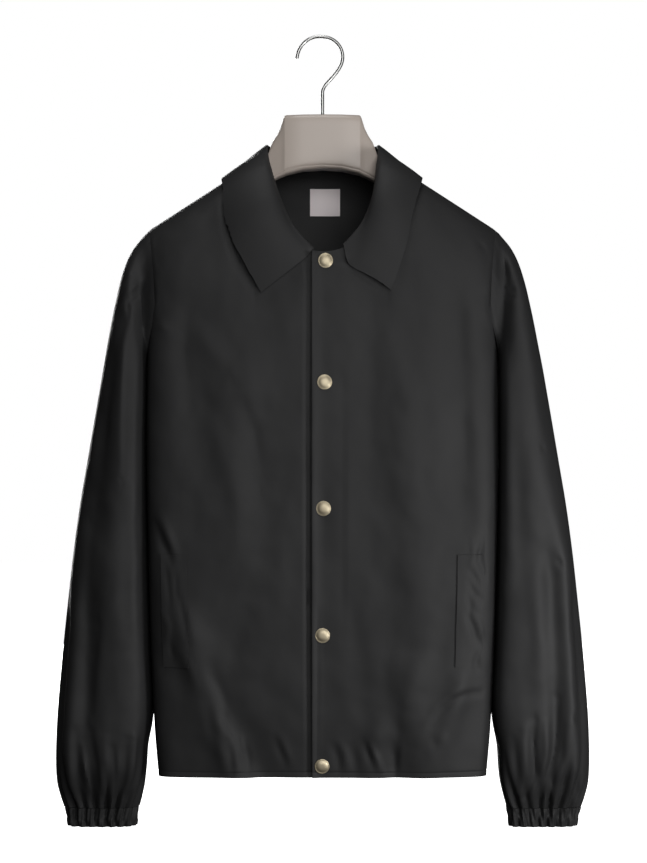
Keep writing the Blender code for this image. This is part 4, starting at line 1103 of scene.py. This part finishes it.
label = {"left": -0.0146, "right": 0.0205, "top": -0.1680, "low": -0.1995, "clear": 0.0004,
         "wall": 0.0007, "across": 24, "up": 20}


def makeLabel(backPiece):
    tree = treeOf(backPiece)
    grid = []
    for z in np.linspace(label["low"], label["top"], label["up"]):
        row = []
        for x in np.linspace(label["left"], label["right"], label["across"]):
            place, facing, _, _ = tree.ray_cast(Vector((x, 0.0, z)), Vector((0, 1, 0)))
            row.append(tuple(place + facing * label["clear"]))
        grid.append(row)
    grid = np.array(grid)
    return clothMesh("neck_label_cloth", [(grid, flatPlaces(grid))])


# Materials

def newGroup(name, inputs, outputs):
    group = bpy.data.node_groups.new(name, "ShaderNodeTree")
    for socketName, kind, value in inputs:
        socket = group.interface.new_socket(socketName, in_out="INPUT", socket_type=kind)
        socket.default_value = value
    for socketName, kind in outputs:
        group.interface.new_socket(socketName, in_out="OUTPUT", socket_type=kind)
    return group, group.nodes.new("NodeGroupInput"), group.nodes.new("NodeGroupOutput")


def addNode(tree, kind, **values):
    node = tree.nodes.new(kind)
    for name, value in values.items():
        if hasattr(node, name):
            setattr(node, name, value)
        else:
            node.inputs[name.replace("_", " ")].default_value = value
    return node


nylonThreads, satinThreads = 3400.0, 5200.0    # to the metre, as turns of a wave


def joinNodes(tree, *links):
    # Each link is a node and its output, then a node and its input.
    for start, output, end, entry in links:
        tree.links.new(start.outputs[output], end.inputs[entry])


def makeWeaveGroup():
    # A fine plain weave from the cut's own coordinates in metres, as height.
    group, given, made = newGroup(
        "Plain weave", [("Threads per metre", "NodeSocketFloat", nylonThreads)],
        [("Height", "NodeSocketFloat")])
    place = addNode(group, "ShaderNodeUVMap", uv_map="Cut")
    scaled = addNode(group, "ShaderNodeVectorMath", operation="SCALE")
    parts = addNode(group, "ShaderNodeSeparateXYZ")
    product = addNode(group, "ShaderNodeMath", operation="MULTIPLY")
    joinNodes(group, (place, "UV", scaled, 0), (given, "Threads per metre", scaled, "Scale"),
              (scaled, 0, parts, 0), (product, 0, made, "Height"))
    for i, axis in enumerate("XY"):
        wave = addNode(group, "ShaderNodeMath", operation="SINE")
        joinNodes(group, (parts, axis, wave, 0), (wave, 0, product, i))
    return group


def makeSlackGroup():
    # Soft, uneven dimples of thin cloth, and a slow drift of its shine.
    group, given, made = newGroup(
        "Thin cloth unevenness", [("Scale", "NodeSocketFloat", 42.0)],
        [("Height", "NodeSocketFloat"), ("Drift", "NodeSocketFloat")])
    place = addNode(group, "ShaderNodeTexCoord")
    small = addNode(group, "ShaderNodeTexNoise", Detail=3.0, Roughness=0.55)
    large = addNode(group, "ShaderNodeTexNoise", Scale=9.0, Detail=2.0)
    joinNodes(group, (place, "Object", small, "Vector"), (place, "Object", large, "Vector"),
              (given, "Scale", small, "Scale"), (small, "Fac", made, "Height"),
              (large, "Fac", made, "Drift"))
    return group


weaveGroup, slackGroup = makeWeaveGroup(), makeSlackGroup()


def newMaterial(name, colour, roughness, metallic=0.0):
    material = bpy.data.materials.new(name)
    material.use_nodes = True
    shader = material.node_tree.nodes["Principled BSDF"]
    shader.inputs["Base Color"].default_value = (*colour, 1)
    shader.inputs["Roughness"].default_value = roughness
    shader.inputs["Metallic"].default_value = metallic
    return material, material.node_tree, shader


def makeCloth(name, colour, roughness, specular, threads=nylonThreads):
    drift = 0.06    # how far the shine wanders either way
    material, tree, shader = newMaterial(name, colour, roughness)
    shader.inputs["Specular IOR Level"].default_value = specular
    weave = addNode(tree, "ShaderNodeGroup", node_tree=weaveGroup, Threads_per_metre=threads)
    uneven = addNode(tree, "ShaderNodeGroup", node_tree=slackGroup)
    fine = addNode(tree, "ShaderNodeBump", Strength=0.25, Distance=0.00008)
    soft = addNode(tree, "ShaderNodeBump", Strength=0.25, Distance=0.0010)
    shine = addNode(tree, "ShaderNodeMapRange", To_Min=roughness - drift, To_Max=roughness + drift)
    joinNodes(tree, (uneven, "Drift", shine, "Value"), (shine, "Result", shader, "Roughness"),
              (uneven, "Height", soft, "Height"), (weave, "Height", fine, "Height"),
              (soft, "Normal", fine, "Normal"), (fine, "Normal", shader, "Normal"))
    return material


def makeMetal(name, colour, roughness, grain):
    material, tree, shader = newMaterial(name, colour, roughness, 1.0)
    place = addNode(tree, "ShaderNodeTexCoord")
    worn = addNode(tree, "ShaderNodeTexNoise", Scale=grain, Detail=2.0)
    shine = addNode(tree, "ShaderNodeMapRange", To_Min=roughness * 0.8, To_Max=roughness * 1.25)
    joinNodes(tree, (place, "Object", worn, "Vector"), (worn, "Fac", shine, "Value"),
              (shine, "Result", shader, "Roughness"))
    return material


def makePlastic(name, colour, roughness):
    material, tree, shader = newMaterial(name, colour, roughness)
    place = addNode(tree, "ShaderNodeTexCoord")
    grain = addNode(tree, "ShaderNodeTexNoise", Scale=900.0, Detail=2.0)
    bump = addNode(tree, "ShaderNodeBump", Strength=0.15, Distance=0.0003)
    joinNodes(tree, (place, "Object", grain, "Vector"), (grain, "Fac", bump, "Height"),
              (bump, "Normal", shader, "Normal"))
    return material


nylon = makeCloth("Black nylon", (0.0140, 0.0140, 0.0143), 0.62, 0.20)
cuffCloth = makeCloth("Black cuff nylon", (0.0125, 0.0125, 0.0128), 0.64, 0.18)
satin = makeCloth("Grey label satin", (0.66, 0.60, 0.605), 0.45, 0.4, satinThreads)
paleGold = makeMetal("Pale gold", (0.38, 0.33, 0.235), 0.50, 700.0)
chrome = makeMetal("Bright wire", (0.31, 0.31, 0.305), 0.28, 300.0)
greige = makePlastic("Greige hanger", (0.36, 0.311, 0.275), 0.42)
print("materials made")


# The cloth pieces

frontLeft, frontRight, back = makeBody()
print("panels shaped:", len(frontLeft.data.vertices), len(back.data.vertices))
sleeveLeft, leftEnd = makeSleeve(1, "sleeve_left_shell")
sleeveRight, rightEnd = makeSleeve(-1, "sleeve_right_shell")
cuffLeft = makeCuff(1, "cuff_left_gathers", leftEnd)
cuffRight = makeCuff(-1, "cuff_right_gathers", rightEnd)
print("sleeves shaped:", len(sleeveLeft.data.vertices))
shell = treeOf(frontLeft, frontRight, back)
collarPiece = makeCollar(shell)
weltLeft = makeWelt("pocket_welt_left_cloth", frontLeftHalf, jacket["lapOver"], 1, shell)
weltRight = makeWelt("pocket_welt_right_cloth", frontRightHalf, jacket["lapUnder"], -1, shell)
for piece in (frontLeft, frontRight, back, sleeveLeft, sleeveRight, cuffLeft, cuffRight):
    giveWall(piece, jacket["wall"])
giveWall(collarPiece, collar["cloth"], 1.0)
for piece in (weltLeft, weltRight):
    giveWall(piece, welt["wall"], 1.0)
labelPiece = makeLabel(back)
giveWall(labelPiece, label["wall"], 1.0)
print("walls given")

shellNodes = {
    frontLeft: "front_left", frontRight: "front_right", back: "back",
    sleeveLeft: "sleeve_left", sleeveRight: "sleeve_right", collarPiece: "collar",
    weltLeft: "pocket_welt_left", weltRight: "pocket_welt_right",
}
for piece, node in shellNodes.items():
    finishPiece(piece, nylon, "shell_cloth", node)
finishPiece(cuffLeft, cuffCloth, "cuff_cloth", "cuff_left")
finishPiece(cuffRight, cuffCloth, "cuff_cloth", "cuff_right")
finishPiece(labelPiece, satin, "label_cloth", "neck_label")


# The snap caps: a rim, a faint ring and a low dome, seated on the lap

snap = {
    "radius": 0.0085,
    "vertices": 64,
    "rim": 0.0009,
    "seat": 0.0003,
    "places": ((0.0034, -0.2600), (0.0023, -0.3965), (0.0011, -0.5384), (0.0, -0.6814),
               (-0.0006, -0.8296)),
    # Each ring: how far it goes in, and how far it rises.
    "rings": ((0.00025, 0.00035), (0.0008, 0.00020), (0.00030, -0.00012), (0.0006, 0.00035),
              (0.0010, 0.00040), (0.0012, 0.00034), (0.0012, 0.00022), (0.0012, 0.00010)),
}


def makeSnap(number, x, z, front):
    place, facing, _, _ = front.ray_cast(Vector((x, -0.3, z)), Vector((0, 1, 0)))
    deselectAll()
    bpy.ops.mesh.primitive_circle_add(vertices=snap["vertices"], radius=snap["radius"],
                                      fill_type="NGON", location=(0, 0, 0))
    cap = bpy.context.object
    cap.name = f"snap_cap_{number}_dome"
    bpy.ops.object.mode_set(mode="EDIT")
    bpy.ops.mesh.select_all(action="SELECT")
    bpy.ops.mesh.extrude_region_move(TRANSFORM_OT_translate={"value": (0, 0, snap["rim"])})
    for inward, rise in snap["rings"]:
        bpy.ops.mesh.inset(thickness=inward, depth=0.0)
        bpy.ops.transform.translate(value=(0, 0, rise))
    bpy.ops.mesh.select_all(action="SELECT")
    bpy.ops.mesh.normals_make_consistent(inside=False)
    bpy.ops.object.mode_set(mode="OBJECT")
    turn = facing.to_track_quat("Z", "Y").to_matrix().to_4x4()
    cap.data.transform(Matrix.Translation(place + facing * snap["seat"]) @ turn)
    return finishPiece(cap, paleGold, "snap_metal", f"snap_cap_{number}")


frontTree = treeOf(frontLeft)
for number, (x, z) in enumerate(snap["places"], start=1):
    makeSnap(number, x, z, frontTree)
print("snaps seated")


# The hanger: a block with slanting facets and rounded arms, lofted out from its middle

hanger = {
    "topZ": -0.0886,
    "wire": 0.0019,
    "boreClear": 0.0003,
    "boreDepth": 0.014,
    "cutterDepth": 0.024,
    "cutterDown": 0.002,
    "around": 96,
    # How square a section's corners are, on the arms and how much more on the block.
    "power": 2.8,
    "sharpPower": 4.5,
    "blockEnd": 0.080,
    "blockFade": 0.020,
    "groove": 0.0042,
    "grooveDeep": 0.0009,
    "grooveWide": 0.0007,
    # The arms lie under the shoulders, and their tips slope down from tipStart on.
    "shoulderGap": 0.0017,
    "tipStart": 0.145,
    "tipDrop": 0.35,
}
hangerMiddle = {
    "x": (0.0000, 0.0220, 0.0425, 0.0437, 0.0449, 0.0485, 0.0520, 0.0575, 0.0605, 0.0645,
          0.0740),
    "top": (-0.0886, -0.0888, -0.0896, -0.0908, -0.0935, -0.1050, -0.1120, -0.1205, -0.1280,
            -0.1400, -0.1480),
    "low": (-0.1510, -0.1525, -0.1572, -0.1580, -0.1585, -0.1600, -0.1615, -0.1645, -0.1660,
            -0.1685, -0.1745),
    "halfDepth": (0.0210, 0.0210, 0.0208, 0.0204, 0.0197, 0.0182, 0.0170, 0.0150, 0.0140,
                  0.0130, 0.0130),
}
hangerArm = {
    "x": (0.090, 0.115, 0.145, 0.172, 0.184, 0.189),
    "height": (0.031, 0.034, 0.034, 0.031, 0.025, 0.014),
    "halfDepth": (0.0150, 0.0190, 0.0210, 0.0205, 0.0180, 0.0110),
}


def hangerOutline(top, low, halfDepth, sharp):
    # A section in (y, z), from the top over the front and back again, with a groove above its foot.
    middle, half = (top + low) / 2, (top - low) / 2
    power = hanger["power"] + hanger["sharpPower"] * sharp
    outline = []
    for i in range(hanger["around"]):
        turn = 2 * math.pi * i / hanger["around"]
        out = math.copysign(abs(math.sin(turn)) ** (2 / power), math.sin(turn))
        up = math.copysign(abs(math.cos(turn)) ** (2 / power), math.cos(turn))
        z = middle + up * half
        away = abs(z - (low + hanger["groove"])) / hanger["grooveWide"]
        pressed = hanger["grooveDeep"] * sharp * math.exp(-away ** 2)
        outline.append((-(halfDepth - pressed) * out, z))
    return outline


def hangerSections():
    # Each section's place, top, foot, half depth and how sharp its corners are.
    for x, top, low, halfDepth in zip(*hangerMiddle.values()):
        yield x, top, low, halfDepth, float(ease((hanger["blockEnd"] - x) / hanger["blockFade"]))
    slope = math.hypot(1, jacket["shoulderFall"])
    for x, height, halfDepth in zip(*hangerArm.values()):
        top = float(shoulderZ(x)) - hanger["shoulderGap"] * slope
        if x > hanger["tipStart"]:
            top -= (max(hangerArm["height"]) - height) * hanger["tipDrop"]
        yield x, top, top - height, halfDepth, 0.0


def makeHanger():
    sections = list(hangerSections())
    start = hangerOutline(*sections[0][1:])
    deselectAll()
    bpy.ops.mesh.primitive_circle_add(vertices=len(start), radius=0.01, location=(0, 0, 0))
    body = bpy.context.object
    body.name = "hanger_body_shaped"
    for vertex, (y, z) in zip(body.data.vertices, start):
        vertex.co = (0.0, y, z)
    around = len(start)
    for x, *rest in sections[1:]:
        bpy.ops.object.mode_set(mode="EDIT")
        if len(body.data.vertices) == around:
            bpy.ops.mesh.select_all(action="SELECT")
        bpy.ops.mesh.extrude_region_move()
        bpy.ops.object.mode_set(mode="OBJECT")
        ring = [vertex for vertex in body.data.vertices if vertex.select]
        for vertex, (y, z) in zip(ring, hangerOutline(*rest)):
            vertex.co = (x, y, z)
    bpy.ops.object.mode_set(mode="EDIT")
    bpy.ops.mesh.edge_face_add()
    bpy.ops.mesh.select_all(action="SELECT")
    bpy.ops.mesh.normals_make_consistent(inside=False)
    bpy.ops.object.mode_set(mode="OBJECT")
    mirror = body.modifiers.new("Both arms", "MIRROR")
    mirror.use_axis[0] = True
    mirror.merge_threshold = 0.00001
    deselectAll()
    bpy.ops.mesh.primitive_cylinder_add(
        vertices=32, radius=hanger["wire"] + hanger["boreClear"], depth=hanger["cutterDepth"],
        location=(0, 0, hanger["topZ"] - hanger["cutterDown"]))
    cutter = bpy.context.object
    bore = body.modifiers.new("Hook bore", "BOOLEAN")
    bore.operation = "DIFFERENCE"
    bore.object = cutter
    applyModifiers(body)
    bpy.data.objects.remove(cutter, do_unlink=True)
    return finishPiece(body, greige, "hanger_plastic", "hanger_body")


# The hook's wire: angles in degrees round the crown's centre, and how it opens past the crown
hook = {"radius": 0.0232, "opening": 0.000066, "stemTop": -0.063, "first": -28, "crown": 90,
        "last": 185, "turns": 90, "bendSteps": 24, "bendLow": 0.011, "bendHigh": 0.018}


def hookPoints():
    # Up the stem, round a reversed bend, over the crown and down to the open tip.
    stemEnd = hanger["topZ"] - hanger["boreDepth"] + hanger["boreClear"]
    points = [Vector((0, 0, stemEnd)), Vector((0, 0, (stemEnd + hook["stemTop"]) / 2))]
    centre = Vector((0, 0, hanger["wire"] - hook["radius"]))
    first = math.radians(hook["first"])
    tangent = Vector((math.sin(first), 0, -math.cos(first)))
    start = centre + hook["radius"] * Vector((math.cos(first), 0, math.sin(first)))
    low = Vector((0, 0, hook["stemTop"]))
    bend = (low, low + Vector((0, 0, hook["bendLow"])), start + tangent * hook["bendHigh"], start)
    for i in range(hook["bendSteps"]):
        t = i / hook["bendSteps"]
        weights = ((1 - t) ** 3, 3 * t * (1 - t) ** 2, 3 * t * t * (1 - t), t ** 3)
        points.append(sum((w * p for w, p in zip(weights, bend)), Vector()))
    for i in range(hook["turns"] + 1):
        degrees = hook["first"] + (hook["last"] - hook["first"]) * i / hook["turns"]
        radius = hook["radius"] + hook["opening"] * max(degrees - hook["crown"], 0)
        angle = math.radians(degrees)
        points.append(centre + radius * Vector((math.cos(angle), 0, math.sin(angle))))
    return points


def makeHook():
    curve = bpy.data.curves.new("hanger_hook_wire", "CURVE")
    curve.dimensions = "3D"
    curve.bevel_depth = hanger["wire"]
    curve.bevel_resolution = 8
    curve.use_fill_caps = True
    points = hookPoints()
    spline = curve.splines.new("POLY")
    spline.points.add(len(points) - 1)
    for target, point in zip(spline.points, points):
        target.co = (*point, 1.0)
    spline.use_smooth = True
    wire = bpy.data.objects.new("hanger_hook_wire", curve)
    bpy.context.scene.collection.objects.link(wire)
    makeActive(wire)
    bpy.ops.object.convert(target="MESH")
    return finishPiece(bpy.context.object, chrome, "hook_wire", "hanger_hook")


makeHanger()
makeHook()
print("hanger and hook made")


# Floor and light

light = {
    "key": {"place": (0.80, -0.70, -0.74), "aim": (0.16, 0.0, -0.80), "size": 0.35, "power": 7.6},
    "front": {"place": (0.65, -3.25, 0.20), "aim": (0.0, 0.0, -0.40), "size": 2.0, "power": 60.0},
    "over": {"place": (-0.15, -0.50, 1.60), "aim": (0.0, -0.05, -0.25), "size": 1.0, "power": 20.0},
    "back": {"place": (-0.60, 3.00, -0.10), "aim": (0.0, 0.0, -0.50), "size": 1.8, "power": 110.0},
    "room": 0.035,
}
floor = {"z": -0.935, "size": 14, "colour": (0.9, 0.9, 0.9), "roughness": 0.8}


def makeLight(name, place, aim, size, power):
    data = bpy.data.lights.new(name, "AREA")
    data.shape = "DISK"
    data.size = size
    data.energy = power
    lamp = bpy.data.objects.new(name, data)
    lamp.location = place
    lamp.rotation_euler = (Vector(aim) - Vector(place)).to_track_quat("-Z", "Y").to_euler()
    bpy.context.scene.collection.objects.link(lamp)


def makeFloor():
    deselectAll()
    bpy.ops.mesh.primitive_plane_add(size=floor["size"], location=(0, 0, floor["z"]))
    plane = bpy.context.object
    plane.name = "Pale floor"
    material, _, shader = newMaterial("Pale floor", floor["colour"], floor["roughness"])
    shader.inputs["Emission Color"].default_value = (1, 1, 1, 1)
    shader.inputs["Emission Strength"].default_value = 1.0
    plane.data.materials.append(material)
    plane.visible_diffuse = plane.visible_glossy = False


def makeWorld():
    world = bpy.data.worlds.new("Pale studio")
    world.use_nodes = True
    tree = world.node_tree
    backdrop = tree.nodes["Background"]
    backdrop.inputs["Color"].default_value = (1, 1, 1, 1)
    room = addNode(tree, "ShaderNodeBackground", Color=(1, 1, 1, 1), Strength=light["room"])
    ray = addNode(tree, "ShaderNodeLightPath")
    mix = addNode(tree, "ShaderNodeMixShader")
    joinNodes(tree, (ray, "Is Camera Ray", mix, 0), (room, 0, mix, 1), (backdrop, 0, mix, 2),
              (mix, 0, tree.nodes["World Output"], "Surface"))
    bpy.context.scene.world = world


for name in ("key", "front", "over", "back"):
    makeLight(name.capitalize() + " light", **light[name])
makeFloor()
makeWorld()
bpy.context.scene.view_settings.view_transform = "Standard"
print("floor and light made")
